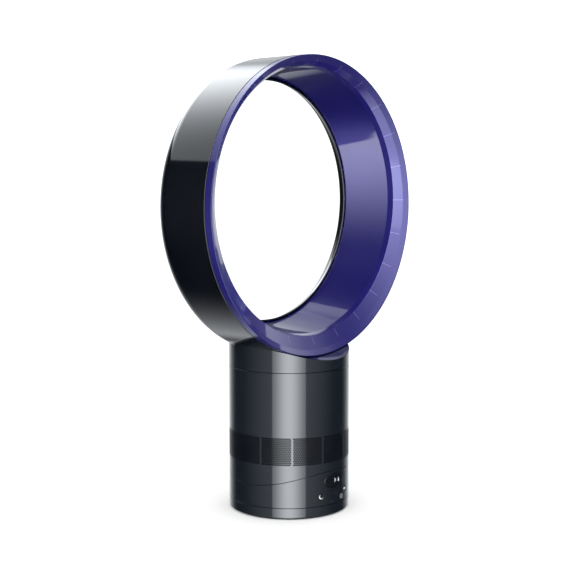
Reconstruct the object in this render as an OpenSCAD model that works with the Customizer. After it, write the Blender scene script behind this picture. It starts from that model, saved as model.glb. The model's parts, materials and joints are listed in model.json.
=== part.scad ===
// Desk fan that blows air out of a hollow loop. The front faces -Y, the width runs along X and
// the origin is the middle of the face it stands on. All lengths are in millimetres.

/* [Casings] */
// Diameter of the round body
base_d = 148; // [136:1:164]
// Thickness of the moulded casings
wall = 2.5; // [2:0.1:3.2]
// Height of the foot that stays still
foot_h = 13.4; // [12:0.1:18]
// Height of the turning part where the tilt seam is lowest
lower_h = 25.6; // [25:0.1:32]
// Height of the tilting part above the lowest point of the tilt seam
main_h = 136.4; // [130:0.2:150]
// Height of the collar below the loop
collar_h = 14.4; // [12:0.2:20]
// Open seam between the foot and the turning part
turn_gap = 0.5; // [0.3:0.05:0.8]
// Open seam below the collar
collar_gap = 0.4; // [0.3:0.05:0.6]
// Gap all round between a piece and the casing that it drops into
fit_gap = 0.15; // [0.1:0.01:0.25]
// Height of the ledges that pieces rest on inside the casings
ledge_h = 1; // [0.8:0.1:1.4]
// Width of those ledges
ledge_w = 2; // [1.5:0.1:3]

/* [Foot] */
// Thickness of the floor of the foot
foot_floor = 2.6; // [2:0.1:3.2]
// Rounding of the foot's lower edge
foot_edge_r = 2; // [1:0.1:2.5]
// Height of the rubber ring below the foot
pad_stand = 0.8; // [0.5:0.1:1.5]
// Depth of the groove that holds the rubber ring
pad_groove = 1.2; // [0.8:0.1:1.6]
// Distance of the rubber ring from the outer edge
pad_inset = 6; // [4:0.5:10]
// Width of the rubber ring
pad_w = 9; // [6:0.5:14]
// Thickness of the plate that closes the foot
foot_plate_t = 3; // [2.5:0.1:4]
// Distance of the foot's screws from its outer edge
foot_screw_inset = 28; // [24:1:34]
// Radius of the cord's passage through the grommet
cord_hole_r = 2.4; // [2:0.1:2.8]
// Thickness of the rubber around that passage
grommet_t = 1.6; // [1.2:0.1:1.8]

/* [Turning joint] */
// Outer radius of the post that the fan turns on
post_r = 14; // [12:0.5:16]
// Thickness of the post's wall
post_wall = 5; // [4:0.2:6]
// Height of the post above the foot
post_h = 17.1; // [16:0.1:18.5]
// Gap of a shaft in its bearing
running_gap = 0.05; // [0.02:0.01:0.08]
// Axial play of the turning part
turn_play = 0.4; // [0.3:0.05:0.6]
// Thickness of the bush around the post
bush_t = 2; // [1.5:0.1:2.5]
// Thickness of the bush's flange
bush_flange_t = 1.4; // [1:0.1:1.8]
// Width of the bush's flange
bush_flange_w = 8; // [5:0.5:10]
// Thickness of the hub around the bush
hub_t = 4; // [3:0.2:5]
// Thickness of the floor of the turning part
lower_floor_t = 2.5; // [2:0.1:3]
// Module of the turning gears
gear_module = 1.25; // [1.2:0.01:1.3]
// Teeth of the gear on the post
gear_teeth = 48; // [44:2:50]
// Teeth of the pinion
pinion_teeth = 12; // [12:1:14]
// Thickness of the gears
gear_t = 3; // [2.5:0.1:3.5]
// Free play between the teeth
backlash = 0.15; // [0.1:0.01:0.25]
// Gap between the turning motor and the casing's bore
motor_inset = 8; // [6.6:0.2:10.8]
// Radius of its output shaft
swivel_shaft_r = 2; // [1.5:0.1:2.5]

/* [Tilting joint] */
// Radius of the tilt seam about its axis
tilt_r = 178; // [165:1:195]
// Open seam along the tilt joint
tilt_gap = 0.4; // [0.3:0.05:0.6]
// Greatest tilt each way, in degrees
tilt_limit = 10; // [6:1:10]
// Thickness of the curved cradle
cradle_t = 2.5; // [2:0.1:3]
// Thickness of the curved shoe above it
shoe_t = 2.5; // [2:0.1:3]
// Distance of each runner from the outer edge
runner_inset = 34; // [32:0.5:36]
// Width of a runner's web
runner_web_w = 4; // [3.5:0.1:5]
// Width of a runner's flange
runner_flange_w = 11; // [9:0.2:12]
// Thickness of a runner's flange
runner_flange_t = 2; // [1.5:0.1:2.2]
// Length of a runner along its arc, in degrees
runner_span = 10; // [8:0.5:10]
// Gap around a runner in its slot
runner_gap = 0.3; // [0.2:0.02:0.4]

/* [Controls] */
// Radius of the round keys
key_r = 3.7; // [3:0.1:3.8]
// Travel of the keys
key_travel = 0.8; // [0.5:0.05:0.9]
// Gap around a key
key_gap = 0.25; // [0.2:0.01:0.35]
// Depth of a key behind the outer surface
key_depth = 8; // [7:0.1:8.4]
// Width of the rim that keeps a key in
key_rim = 1; // [0.7:0.1:1.1]
// Height of the power key above the turning seam
power_rise = 6.1; // [5.9:0.1:7]
// Height of the sleep key above the turning seam
timer_rise = 11.1; // [9:0.1:13]
// Height of the swivel key above the turning seam
swivel_rise = 13.1; // [12:0.1:13.5]
// Height of the display above the turning seam
display_rise = 12.5; // [10:0.1:14]
// Height of the remote eye above the turning seam
eye_rise = 3.9; // [3.6:0.1:5]
// Height of the airflow rocker above the turning seam
rocker_rise = 28.1; // [27:0.1:29]
// Width of the airflow rocker
rocker_w = 33; // [28:0.5:36]
// Height of the airflow rocker
rocker_h = 16; // [14:0.2:16.5]
// Gap around the airflow rocker
rocker_gap = 0.45; // [0.4:0.01:0.6]
// Depth of the airflow rocker behind the outer surface
rocker_depth = 6.5; // [6:0.1:7]
// Width of the display window
display_w = 11; // [9:0.2:13]
// Height of the display window
display_h = 7.2; // [6:0.1:8]
// Radius of the remote eye
eye_r = 1.6; // [1.2:0.1:1.8]
// Distance of the curved key board from the outer surface
key_board_inset = 14; // [13:0.2:15]
// Thickness of the circuit boards
board_t = 1.6; // [1.2:0.1:2]
// Height of the curved key board
key_board_h = 27; // [25.5:0.1:27.2]

/* [Intake] */
// Height of the intake band above the lowest point of the tilt seam
band_rise = 26.1; // [24:0.1:30]
// Height of the intake band
band_h = 33.4; // [30:0.2:36]
// Number of windows in the band
window_count = 12; // [8:1:16]
// Width of the bars between the windows
bar_w = 3.6; // [2.5:0.1:5]
// Gap around each grille panel in its window
panel_gap = 0.2; // [0.15:0.01:0.3]
// How far the panels lie below the casing's surface
panel_drop = 0.2; // [0.1:0.05:0.4]
// Thickness of the rim behind each panel
grille_t = 1.4; // [1:0.1:2]
// Radius of the grille's holes
grille_hole_r = 2.5; // [2:0.1:2.6]
// Rows of holes in a panel
grille_rows = 4; // [3:1:4]
// Holes in a row of a panel
grille_columns = 5; // [4:1:5]
// Thickness of the floor below the intake
intake_floor_t = 2.5; // [2:0.1:3]
// Thickness of the silencing foam on that floor
foam_t = 3.5; // [2.5:0.1:4]

/* [Fan unit] */
// Distance of the inlet's throat from the housing's bore
inlet_inset = 22; // [20:0.5:25]
// Rounding of the inlet's mouth
inlet_lip_r = 8; // [6:0.2:8.4]
// Thickness of the fan unit's shells
duct_t = 2.2; // [1.8:0.1:2.4]
// Distance of the fan housing's bore from the casing's bore
housing_inset = 13.5; // [12.5:0.5:15.5]
// Height of the housing's cone
housing_cone_h = 23; // [21:0.5:25]
// Height of the rubber mounts below the housing
mount_h = 6.3; // [5.5:0.1:7]
// Radius of the rubber mounts
mount_r = 4.5; // [3.5:0.1:5]
// Gap between the blade tips and the housing
tip_gap = 1; // [0.6:0.1:1.4]
// Distance of the impeller's hub from the housing
impeller_air_w = 17; // [16:0.5:20]
// Height of the impeller
impeller_h = 22.5; // [20:0.5:24]
// Number of impeller blades
blade_count = 9; // [7:1:11]
// Thickness of the impeller blades
blade_t = 1.6; // [1.2:0.1:2]
// Radius of the motor's shaft
shaft_r = 4; // [3:0.1:5]
// Outer radius of the shaft's bearings
bearing_r = 11; // [10:0.1:12]
// Height of each bearing
bearing_h = 5.5; // [5:0.1:6]
// Distance of the stator from the outside of the motor's casing
stator_inset = 12; // [11:0.5:15]
// Height of the stator
stator_h = 10; // [9:0.2:11]
// Width of the air passage around the motor's casing
air_w = 14; // [13:0.1:15.5]
// Height of the motor casing's lower half
bucket_h = 14; // [13:0.2:15]
// Height of the motor casing's domed upper half
dome_h = 19.5; // [18.5:0.1:20]
// Number of diffuser vanes
vane_count = 11; // [7:1:13]

/* [Neck] */
// Distance of the spigot's bore from the casing's bore
spigot_inset = 13; // [12.5:0.5:14.5]
// Thickness of the spigot
spigot_t = 2; // [1.6:0.1:2.4]
// Depth of the spigot in the neck
spigot_depth = 8.4; // [8:0.1:9]
// Gap around the spigot
spigot_gap = 0.3; // [0.2:0.02:0.4]
// Depth of the neck ring below the body's top
neck_depth = 10.4; // [10:0.1:11]
// How far the locking lugs stand out
lug_w = 2.6; // [2:0.1:2.8]
// Height of the locking lugs
lug_h = 2.6; // [2:0.1:2.8]
// Turn that unlocks the loop, in degrees
unlock_angle = 18; // [12:1:24]
// Width of a locking lug, in degrees
lug_span = 12; // [8:1:16]
// Number of locking lugs
lug_count = 4; // [3:1:4]

/* [Loop] */
// Outer diameter of the loop
loop_d = 358.8; // [330:0.4:390]
// Depth of the loop from its front edge to its rear
loop_depth = 97; // [90:0.5:104]
// How far the centre of the opening lies above the centre of the loop
opening_rise = 5.7; // [4:0.1:6.5]
// Thickness of the loop's shells
shell_t = 2.2; // [1.8:0.1:2.6]
// Width of the blue band around the front of the loop
rim_w = 10.5; // [8:0.1:13]
// Step between the blue band and the dark shell
rim_step = 0.3; // [0.2:0.05:0.5]
// Flat of the front edge
rim_edge = 1.2; // [0.8:0.1:1.6]
// Depth of the tapered front face
taper_depth = 12.1; // [10:0.1:14]
// Width of the loop's front, from its outside to the taper's end
taper_w = 18.2; // [16.4:0.2:21.4]
// Depth of the narrow band behind the taper
guide_depth = 7.4; // [6:0.1:9]
// How much the narrow band draws in
guide_draw = 2.2; // [1.2:0.2:4.2]
// Width of the ring, from its outside to the dark lip
ring_w = 32.4; // [31.4:0.1:33.4]
// Distance from the rear of the loop to the end of the dark lip
lip_depth = 13.5; // [13:0.1:14.5]
// Width of the outlet slot
slot_gap = 1.5; // [1:0.1:1.8]
// Rounding of the rear edge towards the outside
nose_outer_r = 24.4; // [22:0.2:26]
// Rounding of the rear edge towards the opening
nose_inner_r = 9; // [8.5:0.1:10]
// How much the lip draws in from the rear rounding to its end
lip_draw = 1.9; // [1.5:0.1:2.4]
// Width of the air passage from the collar into the loop
throat_w = 92; // [80:1:96]
// Depth of that passage
throat_depth = 48; // [40:1:52]
// Gap between the loop and the collar's hollow top at the front
trough_drop = 1.6; // [0.8:0.1:2.6]
// How far the collar's hollow top rises round the loop at the back
trough_rise = 6.6; // [4.4:0.1:8.4]
// Number of spacers in the outlet slot
spacer_count = 24; // [12:2:36]
// Width of a spacer
spacer_w = 1.5; // [1:0.1:2]

/* [Screws] */
// Radius of the screws
screw_r = 1.5; // [1.2:0.1:1.7]
// Radius of the screw heads
screw_head_r = 2.8; // [2.4:0.1:3]
// Height of the screw heads
screw_head_h = 1.6; // [1.2:0.1:1.8]
// Gap around a screw
screw_gap = 0.1; // [0.05:0.01:0.2]
// Wall of the bosses that the screws bite into
boss_wall = 2.5; // [2:0.1:2.8]

/* [Hidden] */
$fn = 96;
iron = "#2b3036";
black = "#15171a";
violet = "#4a40b0";
rubber = "#202020";
steel = "#b8bcc0";
white_plastic = "#d8d8d4";
board_green = "#1d5a35";

// One overrun for every cut that has to pass a face
overrun = 1;
// The two directions of a mirrored pair
sides = [-1, 1];
base_r = base_d / 2;
bore_r = base_r - wall;
drop_in_r = bore_r - fit_gap;
ledge_r = bore_r - ledge_w;
foot_screw_circle_r = base_r - foot_screw_inset;
runner_x = base_r - runner_inset;
key_board_r = base_r - key_board_inset;
housing_r = bore_r - housing_inset;
spigot_r = bore_r - spigot_inset;
bucket_r = housing_r - air_w;
impeller_hub_r = housing_r - impeller_air_w;
inlet_r = housing_r - inlet_inset;
stator_r = bucket_r - stator_inset;

// Heights of the foot and of the turning part
pad_h = pad_stand + pad_groove;
foot_plate_z = foot_h - foot_plate_t;
foot_floor_top = pad_stand + foot_floor;
lower_z = foot_h + turn_gap;
lower_floor_z = lower_z + ledge_h;
lower_floor_top = lower_floor_z + lower_floor_t;
gear_z = foot_h + post_h;
hub_top = gear_z - turn_play;
hub_r = post_r + running_gap + bush_t + hub_t;
bush_z = lower_floor_z - bush_flange_t;

// The foot's screws and the cord's grommet
foot_screw_count = 4;
screw_phase = 45;
foot_boss_r = screw_head_r + screw_gap + boss_wall;
foot_recess_h = foot_floor / 2;
grommet_r = cord_hole_r + grommet_t;
grommet_z = (foot_floor_top + foot_plate_z) / 2;
grommet_flange_share = 1.15;
grommet_flange_r = grommet_flange_share * grommet_r;
grommet_flange_t = grommet_t;
grommet_sink = wall / 4;

// The pressure angle keeps the small pinion free of undercut
pressure_angle = 25;
addendum_share = 0.95;
dedendum_share = 1.2;
gear_r = gear_module * gear_teeth / 2;
pinion_r = gear_module * pinion_teeth / 2;
pinion_y = gear_r + pinion_r;
gear_screw_count = 3;
gear_screw_circle_r = post_r - post_wall / 2;
small_screw_share = 0.8;
small_head_shares = [0.7, 0.4];
small_screw_r = small_screw_share * screw_r;
small_head_r = min(small_head_shares[0] * screw_head_r, small_head_shares[1] * post_wall);
pinion_inset = gear_t / 15;
motor_offset_share = 4 / 9;
swivel_motor_r = (bore_r - motor_inset - pinion_y) / (1 + motor_offset_share);
swivel_motor_offset = motor_offset_share * swivel_motor_r;
swivel_motor_top = gear_z - turn_play;
ear_r = screw_r + screw_gap + boss_wall;
ear_reach = swivel_motor_r + ear_r;
ear_t = lower_floor_t;

// The tilt axis runs along X above the seam
tilt_z = foot_h + lower_h;
pivot_z = tilt_z + tilt_r;
cradle_r = tilt_r + tilt_gap / 2;
cradle_under_r = cradle_r + cradle_t;
shoe_r = tilt_r - tilt_gap / 2;
shoe_top_r = shoe_r - shoe_t;
runner_flange_r = cradle_under_r + runner_gap;
runner_low_r = runner_flange_r + runner_flange_t;
slot_half = cradle_under_r * sin(runner_span / 2 + tilt_limit) + runner_gap;
centre_hole_r = post_r - post_wall;
// A row of two screws in each runner, as shares of the runner's span
runner_screw_shares = [-0.25, 0.25];
runner_screw_r = runner_web_w / 4;
runner_screw_head_r = 2 * runner_screw_r;
cradle_screw_x = runner_x - runner_flange_w / 2 - 5 * runner_gap - screw_r - boss_wall;
cradle_screw_share = 0.741;
cradle_screw_y = cradle_screw_share * bore_r;
cradle_post_r = screw_r + boss_wall;
// Height of the cradle's upper face over a screw head
cradle_head_z = pivot_z - sqrt(cradle_r * cradle_r - pow(cradle_screw_y - screw_head_r, 2));

// Angles of the controls from the front, positive towards +X
power_angle = 11;
timer_angle = -16.8;
swivel_angle = 18.4;
display_angle = -1;
eye_angle = -5.2;
power_z = lower_z + power_rise;
timer_z = lower_z + timer_rise;
swivel_z = lower_z + swivel_rise;
display_z = lower_z + display_rise;
eye_z = lower_z + eye_rise;
rocker_z = lower_z + rocker_rise;
key_back_r = base_r - key_depth;
key_rim_t = key_depth / 5;
key_rim_front_r = bore_r - key_rim_t / 3;
rocker_back_r = base_r - rocker_depth;
rocker_core_share = 0.8;
rocker_side_share = 1.06;
rocker_switch_angle = 8;
switch_half = key_r * 0.64;
switch_t = switch_half * 1.25;
plunger_r = switch_half / 2;
plunger_gap = key_travel / 8;
key_board_angle = 24;
key_notch_angle = 24;
key_notch_r = key_board_r + 3 * board_t;
fulcrum_r = board_t;
window_t = wall * 0.9;
window_gap = fit_gap / 1.5;

// Boards in the turning part: they follow the casing's bore
board_low_x = hub_r + 2 * hub_t;
board_high_share = 0.895;
board_half_share = 0.44;
standoff_share = 0.056;
board_high_x = board_high_share * bore_r;
board_half_y = board_half_share * bore_r;
board_clip_r = bore_r - ledge_w;
board_z = lower_floor_top + 2 * board_t;
board_top = board_z + board_t;
standoff_inset = standoff_share * bore_r;
standoff_r = 1.5 * board_t;
part_h = (tilt_z - board_top) / 2;
// Blocks on the control board: place and size across it, then height, as shares
block_shares = [[0.1, -0.8, 0.45, 0.5, 1], [0.2, 0.4, 0.5, 0.35, 0.7]];
// Round parts on it: places, then radius and height, as shares
round_part_place_shares = [0.2, 0.45, 0.7];
round_part_r_share = 0.09;
round_part_h_share = 0.9;

// The tilting part
body_top_z = tilt_z + main_h;
band_z = tilt_z + band_rise;
band_top = band_z + band_h;
panel_over = grille_t * 2;
panel_lap = grille_t;
intake_floor_z = band_z - panel_over - intake_floor_t;
intake_floor_top = intake_floor_z + intake_floor_t;
bell_z = band_top + panel_over;
sleeve_r = bore_r - fit_gap;
panel_r = base_r - panel_drop;
window_step = 360 / window_count;
bar_angle = 2 * asin(bar_w / 2 / base_r);
window_angle = window_step - bar_angle;
panel_angle = window_angle - 2 * asin(panel_gap / base_r);
lap_angle = bar_angle / 2;
hole_angle_step = panel_angle / (grille_columns + 0.5);
hole_z_step = band_h / (grille_rows + 0.25);
foam_hole_r = centre_hole_r * 2;
foam_inset = ledge_w * 2;

// The fan unit, from the inlet up
bell_top = bell_z + inlet_lip_r + duct_t;
inlet_seal_gap = running_gap;
housing_z = bell_z + duct_t + mount_h;
inlet_seal_w = duct_t * 1.4;
housing_low_r = inlet_r + duct_t + 3 * running_gap + inlet_seal_w;
housing_flange_r = bore_r - ledge_w - fit_gap * 4;
mount_circle_r = housing_flange_r - mount_r - duct_t / 2;
mount_count = 4;
neck_z = body_top_z - neck_depth;
neck_seat_t = duct_t;
outlet_seal_h = duct_t;
housing_top = neck_z - neck_seat_t - outlet_seal_h;
housing_cone_top = housing_z + housing_cone_h;
impeller_z = housing_z + duct_t + tip_gap;
impeller_top = impeller_z + impeller_h;
hub_bore_r = shaft_r + running_gap / 2;
hub_boss_r = shaft_r + duct_t * 3;
hub_tip_r = shaft_r + duct_t * 2.3;
blade_root_r = impeller_hub_r / 3;
blade_tip_r = housing_r - tip_gap;
housing_slope = (housing_r - housing_low_r) / housing_cone_h;
blade_eye_r = housing_low_r + (impeller_z - housing_z) * housing_slope - tip_gap;
blade_wrap = 55;
blade_bend_r = blade_tip_r * 0.85;
cup_z = impeller_top + 2 * tip_gap;
bearing_gap = running_gap;
bearing_low_z = cup_z + duct_t;
stator_z = bearing_low_z + bearing_h + duct_t;
stator_top = stator_z + stator_h;
rotor_r = stator_r * 0.4;
rotor_air_gap = tip_gap * 0.7;
dome_z = cup_z + bucket_h;
dome_top = dome_z + dome_h;
bearing_high_z = dome_top - duct_t * 2.9 - bearing_h;
slot_count = 6;
tooth_w = stator_r * 0.2;
coil_t = tooth_w / 3;
diffuser_z = cup_z + duct_t * 2;
diffuser_top = min(dome_z + duct_t * 2.6, housing_top - duct_t);
diffuser_t = duct_t * 0.7;
vane_tilt = 22;
// Outline of the motor's dome, as shares of its radius and height
dome_shares = [[1, 0.3], [0.86, 0.64], [0.59, 0.89]];
dome_inner_shares = [[0.56, 0.76], [0.82, 0.52]];
dome_foot_share = 0.27;
nut_t = shaft_r * 0.9;
nut_r = shaft_r * 1.9;

// The neck and the loop's spigot
neck_bore_r = spigot_r + spigot_t + spigot_gap;
neck_wall_share = 0.4;
neck_wall_r = neck_bore_r + lug_w + neck_wall_share * wall;
neck_rim_t = wall;
neck_screw_circle_r = bore_r - boss_wall - screw_r * 0.6;
neck_screw_count = 4;
neck_boss_h = neck_depth;
collar_z = body_top_z + collar_gap;
spigot_z = body_top_z - spigot_depth;
lug_z = spigot_z + lug_h / 2;
lug_play = lug_h / 9;
lug_step = 360 / lug_count;
spigot_plate_z = collar_z + collar_gap;
spigot_plate_t = wall * 1.2;
seal_play = 2 * fit_gap;
collar_screw_circle_r = bore_r - screw_r - boss_wall;
collar_screw_count = 4;
lug_free_angle = lug_span / 6;

// The loop: outside shapes share the loop's centre, the opening's shapes lie higher
loop_r = loop_d / 2;
loop_z = collar_z + collar_h + loop_r;
opening_z = loop_z + opening_rise;
loop_front_y = -loop_depth / 2;
loop_rear_y = loop_depth / 2;
taper_r = loop_r - taper_w;
guide_r = taper_r - guide_draw;
lip_r = loop_r - ring_w;
trough_front_r = loop_r + trough_drop;
trough_rear_r = loop_r - trough_rise;
rim_r = loop_r - rim_step;
rim_y = loop_front_y + rim_w;
taper_y = loop_front_y + taper_depth;
guide_y = taper_y + guide_depth;
lip_y = loop_rear_y - lip_depth;
nose_lip_r = lip_r + lip_draw;
slot_wall_r = lip_r + shell_t + slot_gap;
curl_r = nose_inner_r - shell_t - slot_gap;
curl_end = 120;
nose_y = loop_rear_y - nose_inner_r;
nose_r = nose_lip_r + nose_inner_r;
throat_rise = collar_h;
collar_top_z = loop_z - loop_r + base_r / 2;

// Points of an arc about a centre, in equal steps
function arc_points(centre, radius, from, to, steps) = [
    for (i = [0:steps])
        let (a = from + (to - from) * i / steps)
        centre + radius * [cos(a), sin(a)]
];

// Points of an ellipse around the origin
function ellipse_points(width, height, steps) = [
    for (i = [0:steps - 1])
        let (a = 360 * i / steps)
        [width / 2 * cos(a), height / 2 * sin(a)]
];

// Involute of a circle, in degrees
function involute(a) = tan(a) * 180 / PI - a;

// Half the angle that a tooth fills at a radius
function tooth_half_angle(teeth, at_r) =
    let (pitch_r = gear_module * teeth / 2)
    let (circle_r = pitch_r * cos(pressure_angle))
    let (play = asin(backlash / 2 / pitch_r))
    90 / teeth - play + involute(pressure_angle) - involute(acos(min(1, circle_r / at_r)));

// Outline of a gear, with a tooth centred on +X
function gear_points(teeth) =
    let (pitch_r = gear_module * teeth / 2)
    let (low_r = pitch_r - dedendum_share * gear_module)
    let (high_r = pitch_r + addendum_share * gear_module)
    let (radii = [low_r, max(low_r, pitch_r * cos(pressure_angle)), pitch_r, high_r])
    [
        for (i = [0:teeth - 1])
            for (k = [0:7])
                let (side = k < 4 ? -1 : 1)
                let (at_r = radii[k < 4 ? k : 7 - k])
                let (a = 360 * i / teeth + side * tooth_half_angle(teeth, at_r))
                at_r * [cos(a), sin(a)]
    ];

// Centre of the circle of a given radius through two points
function circle_centre(from, to, radius) =
    let (middle = (from + to) / 2)
    let (half = norm(to - from) / 2)
    let (across = [from.y - to.y, to.x - from.x] / (2 * half))
    middle + sqrt(radius * radius - half * half) * across;

// A ring that stands on a height
module tube(inner_r, outer_r, low_z, high_z) {
    translate([0, 0, low_z])
        difference() {
            cylinder(r = outer_r, h = high_z - low_z);
            translate([0, 0, -overrun])
                cylinder(r = inner_r, h = high_z - low_z + 2 * overrun);
        }
}

// A stretch of a ring, centred on an angle from the front
module tube_part(inner_r, outer_r, low_z, high_z, angle, span) {
    translate([0, 0, low_z])
        rotate([0, 0, angle - 90 - span / 2])
            rotate_extrude(angle = span)
                translate([inner_r, 0])
                    square([outer_r - inner_r, high_z - low_z]);
}

// A round bar that points outward from the fan's axis
module radial_bar(angle, z, from_r, to_r, bar_r) {
    rotate([0, 0, angle])
        translate([0, -from_r, z])
            rotate([90, 0, 0])
                cylinder(r = bar_r, h = to_r - from_r, $fn = 48);
}

// Copies at equal angles about the fan's axis
module around(count, phase = 0) {
    for (i = [0:count - 1])
        rotate([0, 0, phase + 360 * i / count])
            children();
}

// A barrel about the tilt axis
module tilt_barrel(radius) {
    translate([0, 0, pivot_z])
        rotate([0, 90, 0])
            cylinder(r = radius, h = base_d + 2 * overrun, center = true, $fn = 360);
}

// A curved layer about the tilt axis, inside a round outline
module tilt_layer(inner_r, outer_r, outline_r) {
    difference() {
        translate([0, 0, pivot_z - outer_r])
            cylinder(r = outline_r, h = outer_r - inner_r * cos(asin(outline_r / inner_r)) + overrun);
        tilt_barrel(inner_r);
        tilt_outside(outer_r);
    }
}

// Everything low that lies outside a radius about the tilt axis
module tilt_outside(radius) {
    difference() {
        translate([-base_d, -base_d, 0])
            cube([2 * base_d, 2 * base_d, body_top_z]);
        tilt_barrel(radius);
    }
}

// A bar bent about the tilt axis, centred below it
module tilt_arc(inner_r, outer_r, width, span, x) {
    translate([x, 0, pivot_z])
        rotate([0, 90, 0])
            rotate([0, 0, -span / 2])
                rotate_extrude(angle = span, $fn = 360)
                    translate([inner_r, -width / 2])
                        square([outer_r - inner_r, width]);
}

// A screw whose head is down at the origin, with its shank along +Z
module screw(shank_r, head_r, length) {
    cylinder(r = head_r, h = screw_head_h);
    cylinder(r = shank_r, h = length);
}

// A shape turned about the loop's axis, drawn as radius and depth
module about_y(z) {
    translate([0, 0, z])
        rotate([-90, 0, 0])
            rotate_extrude($fn = 240)
                children();
}

// A thin disc across the loop's axis
module loop_disc(radius, y, z) {
    translate([0, y, z])
        rotate([-90, 0, 0])
            cylinder(r = radius, h = rim_edge / 100, $fn = 120);
}

module foot_shell() {
    color(iron)
        difference() {
            union() {
                rotate_extrude()
                    polygon(concat(
                        [[0, pad_stand]],
                        arc_points([base_r - foot_edge_r, pad_stand + foot_edge_r], foot_edge_r, -90, 0, 8),
                        [[base_r, foot_h], [bore_r, foot_h], [bore_r, foot_floor_top], [0, foot_floor_top]]
                    ));
                around(foot_screw_count, screw_phase)
                    translate([foot_screw_circle_r, 0, pad_stand])
                        cylinder(r = foot_boss_r, h = foot_plate_z - pad_stand, $fn = 48);
                tube(bore_r - ledge_w, bore_r + fit_gap, foot_plate_z - ledge_h, foot_plate_z);
            }
            tube(
                base_r - pad_inset - pad_w, base_r - pad_inset,
                pad_stand - overrun, pad_stand + pad_groove
            );
            around(foot_screw_count, screw_phase)
                translate([foot_screw_circle_r, 0, pad_stand - overrun]) {
                    cylinder(r = screw_r + screw_gap, h = foot_h, $fn = 48);
                    cylinder(
                        r = screw_head_r + screw_gap,
                        h = overrun + foot_recess_h + screw_head_h, $fn = 48
                    );
                }
            radial_bar(180, grommet_z, bore_r - ledge_w - overrun, base_r + overrun, grommet_r + fit_gap / 2);
            radial_bar(
                180, grommet_z, bore_r - ledge_w - overrun, bore_r - fit_gap, grommet_flange_r + fit_gap
            );
        }
}

module foot_pad() {
    color(rubber)
        tube(base_r - pad_inset - pad_w + fit_gap, base_r - pad_inset - fit_gap, 0, pad_h);
}

module foot_plate() {
    color(black)
        difference() {
            union() {
                translate([0, 0, foot_plate_z])
                    cylinder(r = drop_in_r, h = foot_plate_t);
                translate([0, 0, foot_plate_z])
                    cylinder(r = post_r, h = gear_z - foot_plate_z);
            }
            translate([0, 0, foot_plate_z - overrun])
                cylinder(r = post_r - post_wall, h = gear_z - foot_plate_z + 2 * overrun);
            radial_bar(180, grommet_z, bore_r - ledge_w - fit_gap, base_r, grommet_flange_r + fit_gap);
            around(foot_screw_count, screw_phase)
                translate([foot_screw_circle_r, 0, foot_plate_z - overrun])
                    cylinder(r = screw_r + screw_gap / 2, h = overrun + foot_plate_t * 0.8, $fn = 48);
            around(gear_screw_count)
                translate([gear_screw_circle_r, 0, gear_z - post_h / 2])
                    cylinder(r = small_screw_r + screw_gap / 2, h = post_h, $fn = 32);
        }
}

module foot_screws() {
    color(steel)
        around(foot_screw_count, screw_phase)
            translate([foot_screw_circle_r, 0, pad_stand + foot_recess_h])
                screw(screw_r, screw_head_r, foot_plate_z + foot_plate_t / 2 - pad_stand - foot_recess_h);
}

module cord_grommet() {
    color(rubber)
        difference() {
            union() {
                radial_bar(180, grommet_z, bore_r - grommet_flange_t, base_r - grommet_sink, grommet_r);
                radial_bar(
                    180, grommet_z, bore_r - ledge_w, bore_r - 2 * fit_gap, grommet_flange_r - fit_gap
                );
            }
            radial_bar(180, grommet_z, bore_r - ledge_w - overrun, base_r + overrun, cord_hole_r);
        }
}

module swivel_gear() {
    color(white_plastic)
        difference() {
            translate([0, 0, gear_z])
                linear_extrude(gear_t)
                    polygon(gear_points(gear_teeth));
            translate([0, 0, gear_z - overrun])
                cylinder(r = post_r - post_wall, h = gear_t + 2 * overrun);
            around(gear_screw_count)
                translate([gear_screw_circle_r, 0, gear_z - overrun]) {
                    cylinder(r = small_screw_r + screw_gap, h = gear_t + 2 * overrun, $fn = 32);
                    translate([0, 0, overrun + gear_t - screw_head_h])
                        cylinder(r = small_head_r + screw_gap, h = gear_t, $fn = 32);
                }
        }
}

module gear_screws() {
    color(steel)
        around(gear_screw_count)
            translate([gear_screw_circle_r, 0, gear_z + gear_t])
                mirror([0, 0, 1])
                    screw(small_screw_r, small_head_r, gear_t + post_h / 3);
}

module lower_casing() {
    color(iron)
        difference() {
            union() {
                tube(bore_r, base_r, lower_z, tilt_z + base_r / 2);
                tube(ledge_r, bore_r + fit_gap, lower_z, lower_z + ledge_h);
                difference() {
                    tube(ledge_r, bore_r + fit_gap, lower_z + lower_h / 2, tilt_z + base_r / 2);
                    tilt_barrel(cradle_under_r);
                    tilt_outside(cradle_under_r + ledge_h);
                    tube_part(
                        ledge_r - overrun, base_r, lower_z, tilt_z + base_r, 0, 2 * key_board_angle
                    );
                }
            }
            tilt_barrel(cradle_r);
            for (key = [[power_angle, power_z], [timer_angle, timer_z], [swivel_angle, swivel_z]])
                radial_bar(key[0], key[1], ledge_r - overrun, base_r + overrun, key_r + key_gap);
            radial_bar(eye_angle, eye_z, ledge_r, base_r + overrun, eye_r + window_gap);
            oval_bar(display_angle, display_z, ledge_r, base_r + overrun, display_w + 2 * window_gap,
                display_h + 2 * window_gap);
            oval_bar(0, rocker_z, ledge_r, base_r + overrun, rocker_w + 2 * rocker_gap,
                rocker_h + 2 * rocker_gap);
        }
}

// An oval bar that points outward from the fan's axis
module oval_bar(angle, z, from_r, to_r, width, height) {
    rotate([0, 0, angle])
        translate([0, -from_r, z])
            rotate([90, 0, 0])
                linear_extrude(to_r - from_r)
                    polygon(ellipse_points(width, height, 48));
}

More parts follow.
